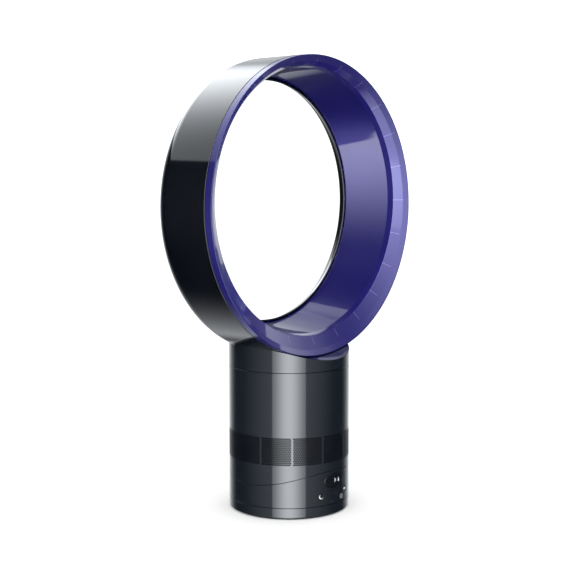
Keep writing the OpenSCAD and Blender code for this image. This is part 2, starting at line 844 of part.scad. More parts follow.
module lower_floor() {
    color(black)
        difference() {
            union() {
                translate([0, 0, lower_floor_z])
                    cylinder(r = drop_in_r, h = lower_floor_t);
                translate([0, 0, lower_floor_z])
                    cylinder(r = hub_r, h = hub_top - lower_floor_z);
                for (x = [board_low_x + standoff_inset, board_high_x - standoff_inset])
                    for (side = sides)
                        translate([x, side * (board_half_y - standoff_inset), lower_floor_z])
                            cylinder(r = standoff_r, h = board_z - lower_floor_z, $fn = 32);
                difference() {
                    for (side = sides)
                        for (end = sides)
                            translate([side * cradle_screw_x, end * cradle_screw_y, lower_floor_z])
                                cylinder(r = cradle_post_r, h = lower_h + base_r / 2, $fn = 48);
                    tilt_barrel(cradle_under_r);
                }
            }
            translate([0, 0, lower_floor_z - overrun])
                cylinder(r = post_r + running_gap + bush_t, h = hub_top);
            tube_part(
                key_notch_r, base_r, lower_floor_z - overrun, lower_floor_top + overrun,
                0, 2 * key_notch_angle
            );
            for (side = sides)
                for (end = sides)
                    translate([side * cradle_screw_x, end * cradle_screw_y, 0]) {
                        translate([0, 0, lower_floor_top])
                            cylinder(r = screw_r + screw_gap / 2, h = lower_h + base_r / 2, $fn = 48);
                        translate([0, 0, cradle_head_z - screw_head_h])
                            cylinder(r = screw_head_r + screw_gap, h = base_r, $fn = 48);
                    }
            for (side = sides)
                translate([side * ear_reach, pinion_y + swivel_motor_offset, lower_floor_z - overrun])
                    cylinder(r = screw_r + screw_gap / 2, h = lower_floor_t + 2 * overrun, $fn = 32);
        }
}

module swivel_bush() {
    color(white_plastic) {
        tube(post_r + running_gap, post_r + running_gap + bush_t, lower_floor_z, hub_top);
        tube(
            post_r + running_gap, post_r + running_gap + bush_t + bush_flange_w,
            bush_z + turn_gap / 5, lower_floor_z
        );
    }
}

module swivel_motor() {
    color(steel)
        difference() {
            union() {
                translate([0, pinion_y + swivel_motor_offset, lower_floor_top])
                    cylinder(r = swivel_motor_r, h = swivel_motor_top - lower_floor_top);
                for (side = sides)
                    translate([0, pinion_y + swivel_motor_offset, lower_floor_top])
                        motor_ear(side);
            }
            translate([0, pinion_y, lower_floor_top + ear_t])
                cylinder(r = swivel_shaft_r + running_gap, h = swivel_motor_top, $fn = 48);
            for (side = sides)
                translate([side * ear_reach, pinion_y + swivel_motor_offset, lower_floor_top - overrun])
                    cylinder(r = screw_r + screw_gap, h = ear_t + 2 * overrun, $fn = 32);
        }
}

module motor_screws() {
    color(steel)
        for (side = sides)
            translate([
                side * ear_reach, pinion_y + swivel_motor_offset,
                lower_floor_top + ear_t + screw_head_h
            ])
                mirror([0, 0, 1])
                    screw(screw_r, screw_head_r, screw_head_h + ear_t + lower_floor_t * 0.8);
}

// A lug on the side of the turning motor
module motor_ear(side) {
    translate([side * ear_reach, 0, 0])
        cylinder(r = ear_r, h = ear_t, $fn = 48);
    translate([min(0, side * ear_reach), -ear_r, 0])
        cube([ear_reach, 2 * ear_r, ear_t]);
}

module swivel_pinion() {
    shaft_z = lower_floor_top + ear_t + turn_play;
    color(white_plastic)
        translate([0, pinion_y, 0]) {
            translate([0, 0, gear_z + pinion_inset])
                linear_extrude(gear_t - 2 * pinion_inset)
                    rotate([0, 0, 180 / pinion_teeth])
                        polygon(gear_points(pinion_teeth));
            translate([0, 0, shaft_z])
                cylinder(r = swivel_shaft_r, h = gear_z + gear_t - pinion_inset - shaft_z, $fn = 48);
        }
}

module control_board() {
    color(board_green)
        intersection() {
            translate([board_low_x, -board_half_y, board_z])
                cube([board_high_x - board_low_x, 2 * board_half_y, board_t]);
            translate([0, 0, board_z])
                cylinder(r = board_clip_r, h = board_t);
        }
}

module board_components() {
    board_w = board_high_x - board_low_x;
    color(black) {
        for (share = block_shares)
            translate([board_low_x + board_w * share[0], board_half_y * share[1], board_top])
                cube([board_w * share[2], board_half_y * share[3], part_h * share[4]]);
        for (share = round_part_place_shares)
            translate([board_low_x + board_w * share, 0, board_top])
                cylinder(r = board_w * round_part_r_share, h = part_h * round_part_h_share, $fn = 32);
    }
}

module tilt_cradle() {
    color(black)
        difference() {
            tilt_layer(cradle_r, cradle_under_r, drop_in_r);
            for (side = sides)
                translate([side * runner_x - runner_web_w / 2 - runner_gap, -slot_half, 0])
                    cube([runner_web_w + 2 * runner_gap, 2 * slot_half, pivot_z]);
            cylinder(r = centre_hole_r, h = pivot_z);
            for (side = sides)
                for (end = sides)
                    translate([side * cradle_screw_x, end * cradle_screw_y, 0]) {
                        cylinder(r = screw_r + screw_gap, h = pivot_z, $fn = 32);
                        translate([0, 0, cradle_head_z - screw_head_h])
                            cylinder(r = screw_head_r + screw_gap, h = pivot_z, $fn = 48);
                    }
        }
}

module cradle_screws() {
    color(steel)
        for (side = sides)
            for (end = sides)
                translate([side * cradle_screw_x, end * cradle_screw_y, cradle_head_z])
                    mirror([0, 0, 1])
                        screw(screw_r, screw_head_r, lower_h / 2);
}

module key_board() {
    color(board_green)
        tube_part(
            key_board_r, key_board_r + board_t, lower_floor_top, lower_floor_top + key_board_h,
            0, 2 * key_board_angle
        );
}

module tact_switches() {
    color(black)
        union() {
            for (key = [[power_angle, power_z], [timer_angle, timer_z], [swivel_angle, swivel_z]])
                tact_switch(key[0], key[1], key_back_r - key_travel - plunger_gap);
            for (side = sides)
                tact_switch(side * rocker_switch_angle, rocker_z, rocker_back_r - key_travel - plunger_gap);
            tube_part(
                key_board_r + board_t, rocker_back_r - runner_gap, rocker_z - rocker_h / 4,
                rocker_z + rocker_h / 4, 0, fulcrum_r
            );
        }
}

// A switch on the key board with a plunger that a key presses
module tact_switch(angle, z, plunger_end_r) {
    tube_part(
        key_board_r + board_t, key_board_r + board_t + switch_t, z - switch_half, z + switch_half,
        angle, 2 * asin(switch_half / key_board_r)
    );
    radial_bar(angle, z, key_board_r + board_t, plunger_end_r, plunger_r);
}

module display_window() {
    color("dimgray")
        intersection() {
            oval_bar(display_angle, display_z, base_r - window_t, base_r, display_w, display_h);
            translate([0, 0, lower_z])
                cylinder(r = base_r, h = lower_h, $fn = 192);
        }
}

module remote_eye() {
    color("darkred")
        intersection() {
            radial_bar(eye_angle, eye_z, base_r - window_t, base_r, eye_r);
            translate([0, 0, lower_z])
                cylinder(r = base_r, h = lower_h, $fn = 192);
        }
}

// A round key that slides in the casing, with a rim that keeps it in
module round_key(angle, z) {
    intersection() {
        union() {
            radial_bar(angle, z, key_back_r, base_r + overrun, key_r);
            radial_bar(angle, z, key_rim_front_r - key_rim_t, key_rim_front_r, key_r + key_rim);
        }
        translate([0, 0, lower_z])
            cylinder(r = base_r, h = lower_h + base_r / 2, $fn = 192);
    }
}

module power_button() {
    color(black)
        round_key(power_angle, power_z);
}

module timer_button() {
    color(black)
        round_key(timer_angle, timer_z);
}

module swivel_button() {
    color(black)
        round_key(swivel_angle, swivel_z);
}

module airflow_rocker() {
    color(black)
        intersection() {
            union() {
                oval_bar(0, rocker_z, bore_r - wall / 2, base_r + overrun, rocker_w, rocker_h);
                oval_bar(0, rocker_z, rocker_back_r, bore_r, rocker_w, rocker_h * rocker_core_share);
                oval_bar(
                    0, rocker_z, rocker_back_r, rocker_back_r + wall / 2,
                    rocker_w * rocker_side_share, rocker_h * rocker_core_share
                );
            }
            translate([0, 0, lower_z])
                cylinder(r = base_r, h = lower_h + base_r / 2, $fn = 192);
        }
}

module main_casing() {
    color(iron)
        difference() {
            union() {
                tube(bore_r, base_r, tilt_z, body_top_z);
                tube(ledge_r, bore_r + fit_gap, intake_floor_z - ledge_h, intake_floor_z);
                tube(ledge_r, bore_r + fit_gap, body_top_z - neck_rim_t - ledge_h, body_top_z - neck_rim_t);
                intersection() {
                    tube(ledge_r, bore_r + fit_gap, tilt_z, intake_floor_z);
                    difference() {
                        tilt_barrel(shoe_top_r);
                        tilt_barrel(shoe_top_r - ledge_h);
                    }
                }
                around(neck_screw_count, screw_phase)
                    translate([neck_screw_circle_r, 0, body_top_z - neck_rim_t - neck_boss_h])
                        cylinder(r = bore_r + fit_gap - neck_screw_circle_r, h = neck_boss_h, $fn = 48);
            }
            tilt_outside(shoe_r);
            around(window_count)
                tube_part(bore_r - overrun, base_r + overrun, band_z, band_top, 0, window_angle);
            around(neck_screw_count, screw_phase)
                translate([neck_screw_circle_r, 0, body_top_z - neck_rim_t - neck_boss_h * 0.8])
                    cylinder(r = small_screw_r + screw_gap / 2, h = neck_depth, $fn = 32);
        }
}

module intake_grille() {
    color(black)
        around(window_count)
            grille_panel();
}

// A perforated panel whose rim laps the casing from inside
module grille_panel() {
    difference() {
        union() {
            tube_part(
                sleeve_r - grille_t, sleeve_r, band_z - panel_lap, band_top + panel_lap,
                0, panel_angle + lap_angle
            );
            tube_part(
                sleeve_r - grille_t / 2, panel_r, band_z + panel_gap, band_top - panel_gap,
                0, panel_angle
            );
        }
        for (row = [0:grille_rows - 1])
            for (column = [0:grille_columns - 1])
                radial_bar(
                    hole_angle_step * (column - (grille_columns - 1) / 2 + (row % 2 - 0.5) / 2),
                    band_z + band_h / 2 + hole_z_step * (row - (grille_rows - 1) / 2),
                    sleeve_r - grille_t - overrun, base_r + overrun, grille_hole_r
                );
    }
}

module tilt_shoe() {
    color(black)
        difference() {
            tilt_layer(shoe_top_r, shoe_r, drop_in_r);
            cylinder(r = centre_hole_r, h = pivot_z);
            runner_screw_places()
                cylinder(r = runner_screw_r + screw_gap, h = shoe_t + 2 * overrun, $fn = 32);
            runner_screw_places()
                cylinder(r = runner_screw_head_r + screw_gap, h = overrun + shoe_t / 2, $fn = 32);
        }
}

// Places on the shoe, turned so that +Z leads down into the runners
module runner_screw_places() {
    for (side = sides)
        for (share = runner_screw_shares)
            translate([side * runner_x, 0, pivot_z])
                rotate([share * runner_span, 0, 0])
                    rotate([180, 0, 0])
                        translate([0, 0, shoe_top_r - overrun])
                            children();
}

module tilt_runners() {
    color(steel)
        for (side = sides)
            difference() {
                union() {
                    tilt_arc(shoe_r, runner_low_r, runner_web_w, runner_span, side * runner_x);
                    tilt_arc(runner_flange_r, runner_low_r, runner_flange_w, runner_span, side * runner_x);
                }
                runner_screw_places()
                    cylinder(r = runner_screw_r + screw_gap / 2, h = overrun + shoe_t + cradle_t, $fn = 32);
            }
}

module runner_screws() {
    color(steel)
        runner_screw_places()
            translate([0, 0, overrun]) {
                cylinder(r = runner_screw_head_r, h = shoe_t / 2, $fn = 32);
                cylinder(r = runner_screw_r, h = shoe_t + cradle_t * 0.9, $fn = 32);
            }
}

module intake_floor() {
    color(black)
        tube(centre_hole_r, drop_in_r, intake_floor_z, intake_floor_top);
}

module intake_foam() {
    color("dimgray")
        tube(foam_hole_r, bore_r - foam_inset - grille_t, intake_floor_top, intake_floor_top + foam_t);
}

module inlet_bell() {
    lip_centre = [inlet_r + inlet_lip_r, bell_z + inlet_lip_r];
    color(white_plastic)
        rotate_extrude()
            polygon(concat(
                [[drop_in_r, bell_z], [drop_in_r, bell_z + duct_t], [lip_centre.x, bell_z + duct_t]],
                arc_points(lip_centre, inlet_lip_r - duct_t, 270, 180, 6),
                [[inlet_r + duct_t, bell_top], [inlet_r, bell_top]],
                arc_points(lip_centre, inlet_lip_r, 180, 270, 8)
            ));
}

module inlet_seal() {
    color(rubber)
        tube(
            inlet_r + duct_t + inlet_seal_gap, housing_low_r - inlet_seal_gap,
            bell_z + inlet_lip_r, housing_z + duct_t
        );
}

module housing_mounts() {
    color(rubber)
        around(mount_count)
            translate([mount_circle_r, 0, bell_z + duct_t])
                cylinder(r = mount_r, h = mount_h, $fn = 48);
}

module fan_housing() {
    color(white_plastic)
        rotate_extrude()
            polygon([
                [housing_low_r, housing_z],
                [housing_flange_r, housing_z],
                [housing_flange_r, housing_z + duct_t],
                [housing_low_r + duct_t + housing_slope * duct_t, housing_z + duct_t],
                [housing_r + duct_t, housing_cone_top],
                [housing_r + duct_t, housing_top],
                [housing_r, housing_top],
                [housing_r, housing_cone_top]
            ]);
}

module outlet_seal() {
    color(rubber)
        tube(housing_r - duct_t / 4, housing_r + duct_t * 1.25, housing_top, neck_z - neck_seat_t);
}

module diffuser() {
    vane_h = 2 * (diffuser_top - diffuser_z);
    inner_r = bucket_r + fit_gap;
    outer_r = housing_r - fit_gap;
    color(white_plastic)
        union() {
            tube(inner_r, inner_r + diffuser_t, diffuser_z, diffuser_top);
            tube(outer_r - diffuser_t, outer_r, diffuser_z, diffuser_top);
            intersection() {
                tube(
                    inner_r + diffuser_t / 2, outer_r - diffuser_t / 2,
                    diffuser_z, diffuser_top
                );
                around(vane_count)
                    translate([(inner_r + outer_r) / 2, 0, (diffuser_z + diffuser_top) / 2])
                        rotate([vane_tilt, 0, 0])
                            cube([outer_r - inner_r, diffuser_t, vane_h], center = true);
            }
        }
}

module motor_cup() {
    color("gray")
        difference() {
            union() {
                tube(bearing_r - duct_t, bucket_r, cup_z, cup_z + duct_t);
                tube(bucket_r - duct_t, bucket_r, cup_z, dome_z);
                tube(
                    bearing_r + bearing_gap, bearing_r + bearing_gap + duct_t,
                    cup_z, bearing_low_z + bearing_h
                );
                around(4, 45)
                    translate([stator_r - 2 * duct_t, -duct_t, cup_z])
                        cube([bucket_r - stator_r + duct_t, 2 * duct_t, dome_z - cup_z - duct_t]);
            }
            translate([0, 0, stator_z])
                cylinder(r = stator_r + running_gap, h = stator_h);
        }
}

module motor_dome() {
    seat_r = bearing_r + bearing_gap;
    color("gray")
        rotate_extrude()
            polygon(concat(
                [[bucket_r - duct_t, dome_z], [bucket_r, dome_z]],
                [for (share = dome_shares) [bucket_r * share.x, dome_z + dome_h * share.y]],
                [
                    [0, dome_top], [0, bearing_high_z + bearing_h],
                    [seat_r, bearing_high_z + bearing_h], [seat_r, bearing_high_z],
                    [seat_r + duct_t, bearing_high_z],
                    [seat_r + duct_t, bearing_high_z + bearing_h + duct_t / 2]
                ],
                [for (share = dome_inner_shares) [bucket_r * share.x, dome_z + dome_h * share.y]],
                [[bucket_r - duct_t, dome_z + dome_h * dome_foot_share]]
            ));
}

module motor_stator() {
    color(steel)
        union() {
            tube(stator_r - tooth_w, stator_r, stator_z, stator_top);
            difference() {
                around(slot_count)
                    translate([0, -tooth_w / 2, stator_z])
                        cube([stator_r - tooth_w / 2, tooth_w, stator_h]);
                translate([0, 0, stator_z - overrun])
                    cylinder(r = rotor_r + rotor_air_gap, h = stator_h + 2 * overrun);
            }
        }
}

module motor_coils() {
    coil_low_r = rotor_r + rotor_air_gap + coil_t;
    coil_len = stator_r - tooth_w * 1.1 - coil_low_r;
    color("peru")
        around(slot_count)
            difference() {
                translate([coil_low_r, -tooth_w / 2 - coil_t, stator_z - coil_t])
                    cube([coil_len, tooth_w + 2 * coil_t, stator_h + 2 * coil_t]);
                translate([coil_low_r - overrun, -tooth_w / 2 - fit_gap / 2, stator_z - fit_gap / 2])
                    cube([coil_len + 2 * overrun, tooth_w + fit_gap, stator_h + fit_gap]);
            }
}

module motor_bearings() {
    color(steel)
        for (z = [bearing_low_z, bearing_high_z])
            tube(shaft_r + running_gap, bearing_r, z, z + bearing_h);
}

module rotor_shaft() {
    color(steel)
        translate([0, 0, impeller_z - nut_t])
            cylinder(r = shaft_r, h = bearing_high_z + bearing_h - running_gap * 4 - impeller_z + nut_t);
}

module rotor_magnet() {
    color("dimgray")
        tube(hub_bore_r, rotor_r, stator_z, stator_top);
}

module impeller() {
    root = [blade_root_r, 0];
    tip = blade_tip_r * [cos(blade_wrap), sin(blade_wrap)];
    bend = circle_centre(root, tip, blade_bend_r);
    start = atan2(root.y - bend.y, root.x - bend.x);
    turn = 2 * asin(norm(tip - root) / 2 / blade_bend_r);
    color("slategray")
        union() {
            rotate_extrude()
                polygon([
                    [hub_bore_r, impeller_z],
                    [hub_tip_r, impeller_z],
                    [impeller_hub_r, impeller_top - duct_t],
                    [impeller_hub_r, impeller_top],
                    [impeller_hub_r - 1.5 * duct_t, impeller_top],
                    [hub_boss_r, impeller_z + impeller_h * 0.3],
                    [hub_boss_r, impeller_top],
                    [hub_bore_r, impeller_top]
                ]);
            intersection() {
                rotate_extrude()
                    polygon([
                        [hub_tip_r, impeller_z + duct_t / 2],
                        [blade_eye_r, impeller_z],
                        [blade_tip_r, housing_cone_top - tip_gap],
                        [blade_tip_r, impeller_top - duct_t / 2],
                        [impeller_hub_r - duct_t, impeller_top - duct_t / 2]
                    ]);
                around(blade_count)
                    translate([bend.x, bend.y, impeller_z])
                        rotate([0, 0, start - turn])
                            rotate_extrude(angle = turn)
                                translate([blade_bend_r - blade_t / 2, 0])
                                    square([blade_t, impeller_h]);
            }
        }
}

module impeller_nut() {
    color(steel)
        difference() {
            translate([0, 0, impeller_z - nut_t])
                cylinder(r = nut_r, h = nut_t, $fn = 6);
            translate([0, 0, impeller_z - nut_t - overrun])
                cylinder(r = hub_bore_r, h = nut_t + 2 * overrun, $fn = 48);
        }
}

module neck_ring() {
    color(black)
        difference() {
            rotate_extrude()
                polygon([
                    [housing_r, neck_z - neck_seat_t],
                    [neck_wall_r, neck_z - neck_seat_t],
                    [neck_wall_r, body_top_z - neck_rim_t],
                    [drop_in_r, body_top_z - neck_rim_t],
                    [drop_in_r, body_top_z],
                    [neck_bore_r, body_top_z],
                    [neck_bore_r, neck_z],
                    [housing_r, neck_z]
                ]);
            for (i = [0:lug_count - 1]) {
                tube_part(
                    neck_bore_r - overrun, neck_bore_r + lug_w, lug_z - lug_play, lug_z + lug_h + lug_play,
                    lug_step * i - unlock_angle / 2, lug_span + unlock_angle + lug_free_angle
                );
                tube_part(
                    neck_bore_r - overrun, neck_bore_r + lug_w, lug_z, body_top_z + overrun,
                    lug_step * i - unlock_angle, lug_span + lug_free_angle
                );
            }
            around(neck_screw_count, screw_phase)
                translate([neck_screw_circle_r, 0, body_top_z - neck_rim_t - overrun]) {
                    cylinder(r = small_screw_r + screw_gap, h = neck_depth, $fn = 32);
                    translate([0, 0, overrun + neck_rim_t - screw_head_h])
                        cylinder(r = small_head_r + screw_gap, h = neck_depth, $fn = 32);
                }
        }
}

module neck_screws() {
    color(steel)
        around(neck_screw_count, screw_phase)
            translate([neck_screw_circle_r, 0, body_top_z])
                mirror([0, 0, 1])
                    screw(small_screw_r, small_head_r, neck_rim_t + neck_boss_h * 0.6);
}

// All inside the loop's outer surface, less an inset
module loop_envelope(inset, from_y) {
    centre = [loop_r - nose_outer_r, loop_rear_y - nose_outer_r];
    about_y(loop_z)
        polygon(concat(
            [[0, from_y], [loop_r - inset, from_y]],
            arc_points(centre, nose_outer_r - inset, 0, 90, 10),
            [[0, loop_rear_y - inset]]
        ));
}

// The opening behind the dark lip, grown by a distance
module lip_envelope(grow, from_y) {
    about_y(opening_z)
        polygon(concat(
            [[0, from_y], [lip_r + grow, from_y]],
            from_y < lip_y ? [[lip_r + grow, lip_y]] : [],
            arc_points([nose_r, nose_y], nose_inner_r - grow, 180, 90, 8),
            [[nose_r, loop_rear_y + overrun], [0, loop_rear_y + overrun]]
        ));
}

// The air's way through, up to the curled end of the blue wall
module bore_envelope(grow) {
    about_y(opening_z)
        polygon(concat(
            [
                [0, taper_y + grow], [taper_r + grow / 2, taper_y + grow], [guide_r + grow, guide_y],
                [slot_wall_r + grow, lip_y]
            ],
            arc_points([nose_r, nose_y], curl_r - grow, 180, curl_end, 5),
            [[0, nose_y + curl_r * sin(curl_end)]]
        ));
}

// The space in front of the blue taper, moved back by a distance
module taper_envelope(back) {
    hull() {
        loop_disc(rim_r - rim_edge, loop_front_y + back, loop_z);
        loop_disc(taper_r, taper_y + back, opening_z);
    }
}

// The collar's hollow top, lowered by a distance
module trough(lower) {
    translate([0, -base_r, loop_z])
        rotate([-90, 0, 0])
            cylinder(r1 = trough_front_r + lower, r2 = trough_rear_r + lower, h = base_d, $fn = 240);
}

module nozzle_collar() {
    color(iron)
        difference() {
            union() {
                difference() {
                    translate([0, 0, collar_z])
                        cylinder(r = base_r, h = collar_top_z - collar_z);
                    difference() {
                        translate([0, 0, collar_z - overrun])
                            cylinder(r = bore_r, h = collar_top_z);
                        trough(wall);
                    }
                }
                around(collar_screw_count, screw_phase)
                    translate([collar_screw_circle_r, 0, spigot_plate_z + spigot_plate_t])
                        cylinder(
                            r = bore_r + fit_gap - collar_screw_circle_r,
                            h = collar_top_z - spigot_plate_z - spigot_plate_t, $fn = 48
                        );
            }
            trough(0);
            loop_envelope(-fit_gap, loop_front_y - overrun);
            intersection() {
                translate([0, 0, collar_z - overrun])
                    cylinder(r = bore_r, h = collar_top_z);
                translate([-base_r, -throat_depth / 2, collar_z - overrun])
                    cube([base_d, throat_depth, collar_top_z]);
            }
            around(collar_screw_count, screw_phase)
                translate([collar_screw_circle_r, 0, spigot_plate_z])
                    cylinder(r = screw_r + screw_gap / 2, h = spigot_plate_t + collar_h / 2, $fn = 32);
        }
}

module nozzle_spigot() {
    color(black)
        difference() {
            union() {
                tube(spigot_r, drop_in_r, spigot_plate_z, spigot_plate_z + spigot_plate_t);
                tube(spigot_r, spigot_r + spigot_t, spigot_z, spigot_plate_z + spigot_plate_t);
                for (i = [0:lug_count - 1])
                    tube_part(
                        spigot_r + spigot_t / 2, neck_bore_r + lug_w - spigot_gap, lug_z, lug_z + lug_h,
                        lug_step * i, lug_span
                    );
            }
            around(collar_screw_count, screw_phase)
                translate([collar_screw_circle_r, 0, spigot_plate_z - overrun]) {
                    cylinder(r = screw_r + screw_gap, h = spigot_plate_t + 2 * overrun, $fn = 32);
                    cylinder(r = screw_head_r + screw_gap, h = overrun + screw_head_h, $fn = 48);
                }
        }
}

module spigot_seal() {
    color(rubber)
        tube(spigot_r - spigot_t / 2, neck_bore_r - fit_gap, neck_z, spigot_z - seal_play);
}

module collar_screws() {
    color(steel)
        around(collar_screw_count, screw_phase)
            translate([collar_screw_circle_r, 0, spigot_plate_z])
                screw(screw_r, screw_head_r, spigot_plate_t + collar_h * 0.4);
}

module nozzle_outer_shell() {
    color(iron)
        difference() {
            loop_envelope(0, rim_y);
            lip_envelope(0, rim_y - overrun);
            difference() {
                loop_envelope(shell_t, rim_y - overrun);
                lip_envelope(shell_t, lip_y);
            }
            translate([-throat_w / 2, -throat_depth / 2, loop_z - loop_r - overrun])
                cube([throat_w, throat_depth, throat_rise]);
        }
}

module nozzle_inner_shell() {
    color(violet)
        union() {
            difference() {
                about_y(loop_z)
                    polygon([
                        [rim_r - 3 * shell_t, loop_front_y], [rim_r, loop_front_y],
                        [rim_r, rim_y], [rim_r - shell_t, rim_y],
                        [rim_r - shell_t, loop_front_y + 2 * shell_t],
                        [rim_r - 3 * shell_t, loop_front_y + shell_t]
                    ]);
                taper_envelope(0);
            }
            difference() {
                union() {
                    taper_envelope(shell_t);
                    bore_envelope(shell_t);
                }
                taper_envelope(0);
                bore_envelope(0);
            }
        }
}

module nozzle_seal() {
    color(rubber)
        about_y(loop_z)
            polygon([
                [loop_r - 2 * shell_t, rim_y - shell_t], [rim_r - shell_t, rim_y - shell_t],
                [rim_r - shell_t, rim_y], [loop_r - shell_t, rim_y],
                [loop_r - shell_t, rim_y + shell_t], [loop_r - 2 * shell_t, rim_y + shell_t]
            ]);
}

module slot_spacers() {
    spacer_l = lip_depth / 5;
    draw = lip_draw * spacer_l / (nose_y - lip_y);
    color(violet)
        for (i = [0:spacer_count - 1])
            translate([0, 0, opening_z])
                rotate([0, 360 * i / spacer_count, 0])
                    translate([-spacer_w / 2, 0, 0])
                        rotate([90, 0, 90])
                            linear_extrude(spacer_w)
                                polygon([
                                    [lip_y, lip_r + shell_t], [lip_y + spacer_l, lip_r + shell_t + draw],
                                    [lip_y + spacer_l, slot_wall_r + draw], [lip_y, slot_wall_r]
                                ]);
}

foot_shell();
foot_pad();
foot_plate();
foot_screws();
cord_grommet();
swivel_gear();
gear_screws();
lower_casing();
lower_floor();
swivel_bush();
swivel_motor();
motor_screws();
swivel_pinion();
control_board();
board_components();
tilt_cradle();
cradle_screws();
key_board();
tact_switches();
display_window();
remote_eye();
power_button();
timer_button();
swivel_button();
airflow_rocker();
main_casing();
intake_grille();
tilt_shoe();
tilt_runners();
runner_screws();
intake_floor();
intake_foam();
inlet_bell();
inlet_seal();
housing_mounts();
fan_housing();
outlet_seal();
diffuser();
motor_cup();
motor_dome();
motor_stator();
motor_coils();
motor_bearings();
rotor_shaft();
rotor_magnet();
impeller();
impeller_nut();
neck_ring();
neck_screws();
nozzle_collar();
nozzle_spigot();
spigot_seal();
collar_screws();
nozzle_outer_shell();
nozzle_inner_shell();
nozzle_seal();
slot_spacers();
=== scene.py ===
"""Visual model of a desk fan with a hollow loop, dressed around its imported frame."""
import json
import logging
import math
from dataclasses import dataclass
from enum import Enum
from typing import Any, Callable, Sequence

import bpy
import numpy as np
from mathutils.geometry import delaunay_2d_cdt
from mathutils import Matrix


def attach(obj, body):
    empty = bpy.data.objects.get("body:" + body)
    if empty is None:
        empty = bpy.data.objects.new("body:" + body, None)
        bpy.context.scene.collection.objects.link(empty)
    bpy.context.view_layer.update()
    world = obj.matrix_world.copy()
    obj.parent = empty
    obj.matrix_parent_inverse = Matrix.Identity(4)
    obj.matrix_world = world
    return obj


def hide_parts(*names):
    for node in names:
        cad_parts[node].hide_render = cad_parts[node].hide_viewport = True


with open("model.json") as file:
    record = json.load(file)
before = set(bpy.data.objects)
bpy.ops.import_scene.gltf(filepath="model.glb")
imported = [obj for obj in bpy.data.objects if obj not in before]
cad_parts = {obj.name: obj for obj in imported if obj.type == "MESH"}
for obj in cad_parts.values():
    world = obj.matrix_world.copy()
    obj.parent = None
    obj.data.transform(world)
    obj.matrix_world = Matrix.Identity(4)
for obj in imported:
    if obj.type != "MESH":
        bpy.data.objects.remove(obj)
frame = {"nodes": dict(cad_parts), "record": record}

logging.basicConfig(level=logging.INFO, format="%(message)s")
LOG = logging.getLogger("fan")
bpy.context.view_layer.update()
MM = 0.001
SHARP = 0.02
TINY = 1e-9
MERGED = 1e-6
NEARLY_STRAIGHT = 0.9999
SIDE_SHARE = 0.48
COLOUR_SOCKETS = (0, 6, 7, 2)  # of the Mix node: factor, first, second and result
Colour = tuple[float, float, float]


# Meshes

def unit(vectors: np.ndarray) -> np.ndarray:
    """Scales vectors to a length of one.

    Args:
        vectors: Vectors along the last axis.

    Returns:
        The same directions, each one long.
    """
    length = np.linalg.norm(vectors, axis=-1, keepdims=True)
    return vectors / np.where(length < TINY, 1.0, length)


def soften(corners: np.ndarray, radii: Sequence[float | None], steps: int = 5) -> np.ndarray:
    """Rounds the corners of closed outlines, each by no more than its shorter side allows.

    Args:
        corners: Outlines as an array of outline, corner and coordinate.
        radii: Rounding of each corner, nought for a sharp one and None for a point on a curve.
        steps: Steps in each rounding.

    Returns:
        The outlines with their rounded corners.
    """
    rows = []
    count = len(radii)
    for i, radius in enumerate(radii):
        here = corners[:, i]
        if radius is None:
            rows.append(here)
            continue
        back, ahead = corners[:, i - 1] - here, corners[:, (i + 1) % count] - here
        if radius == 0:
            rows += [here + unit(back) * SHARP, here + unit(ahead) * SHARP]
            continue
        cosine = (unit(back) * unit(ahead)).sum(-1, keepdims=True)
        cosine = np.clip(cosine, -NEARLY_STRAIGHT, NEARLY_STRAIGHT)
        reach = radius / np.tan(np.arccos(cosine) / 2)
        shortest = np.minimum(np.linalg.norm(back, axis=-1), np.linalg.norm(ahead, axis=-1))
        reach = np.minimum(reach, SIDE_SHARE * shortest[:, None])
        start, end = here + unit(back) * reach, here + unit(ahead) * reach
        for t in np.linspace(0, 1, steps + 1):
            rows.append((1 - t) ** 2 * start + 2 * t * (1 - t) * here + t ** 2 * end)
    return np.stack(rows, 1)


def circle(radius: float, count: int) -> np.ndarray:
    """Gives flat points on a circle, from the right and anticlockwise.

    Args:
        radius: Its radius.
        count: Number of points.

    Returns:
        The points.
    """
    turn = np.arange(count) * 2 * np.pi / count
    return radius * np.stack([np.cos(turn), np.sin(turn)], -1)


def around_axis(angle: np.ndarray, radius: Any, z: Any) -> np.ndarray:
    """Places points about the fan's upright axis.

    Args:
        angle: Angles from the front in radians, positive towards +X.
        radius: Distance from the axis.
        z: Height.

    Returns:
        Points in millimetres.
    """
    radius, z = np.broadcast_arrays(radius, z)
    return np.stack([np.sin(angle) * radius, -np.cos(angle) * radius, z + 0 * angle], -1)


def hang(name: str, data: Any) -> bpy.types.Object:
    """Makes an object and adds it to the scene.

    Args:
        name: Name of the object.
        data: Its mesh or camera.

    Returns:
        The new object.
    """
    made = bpy.data.objects.new(name, data)
    bpy.context.scene.collection.objects.link(made)
    return made


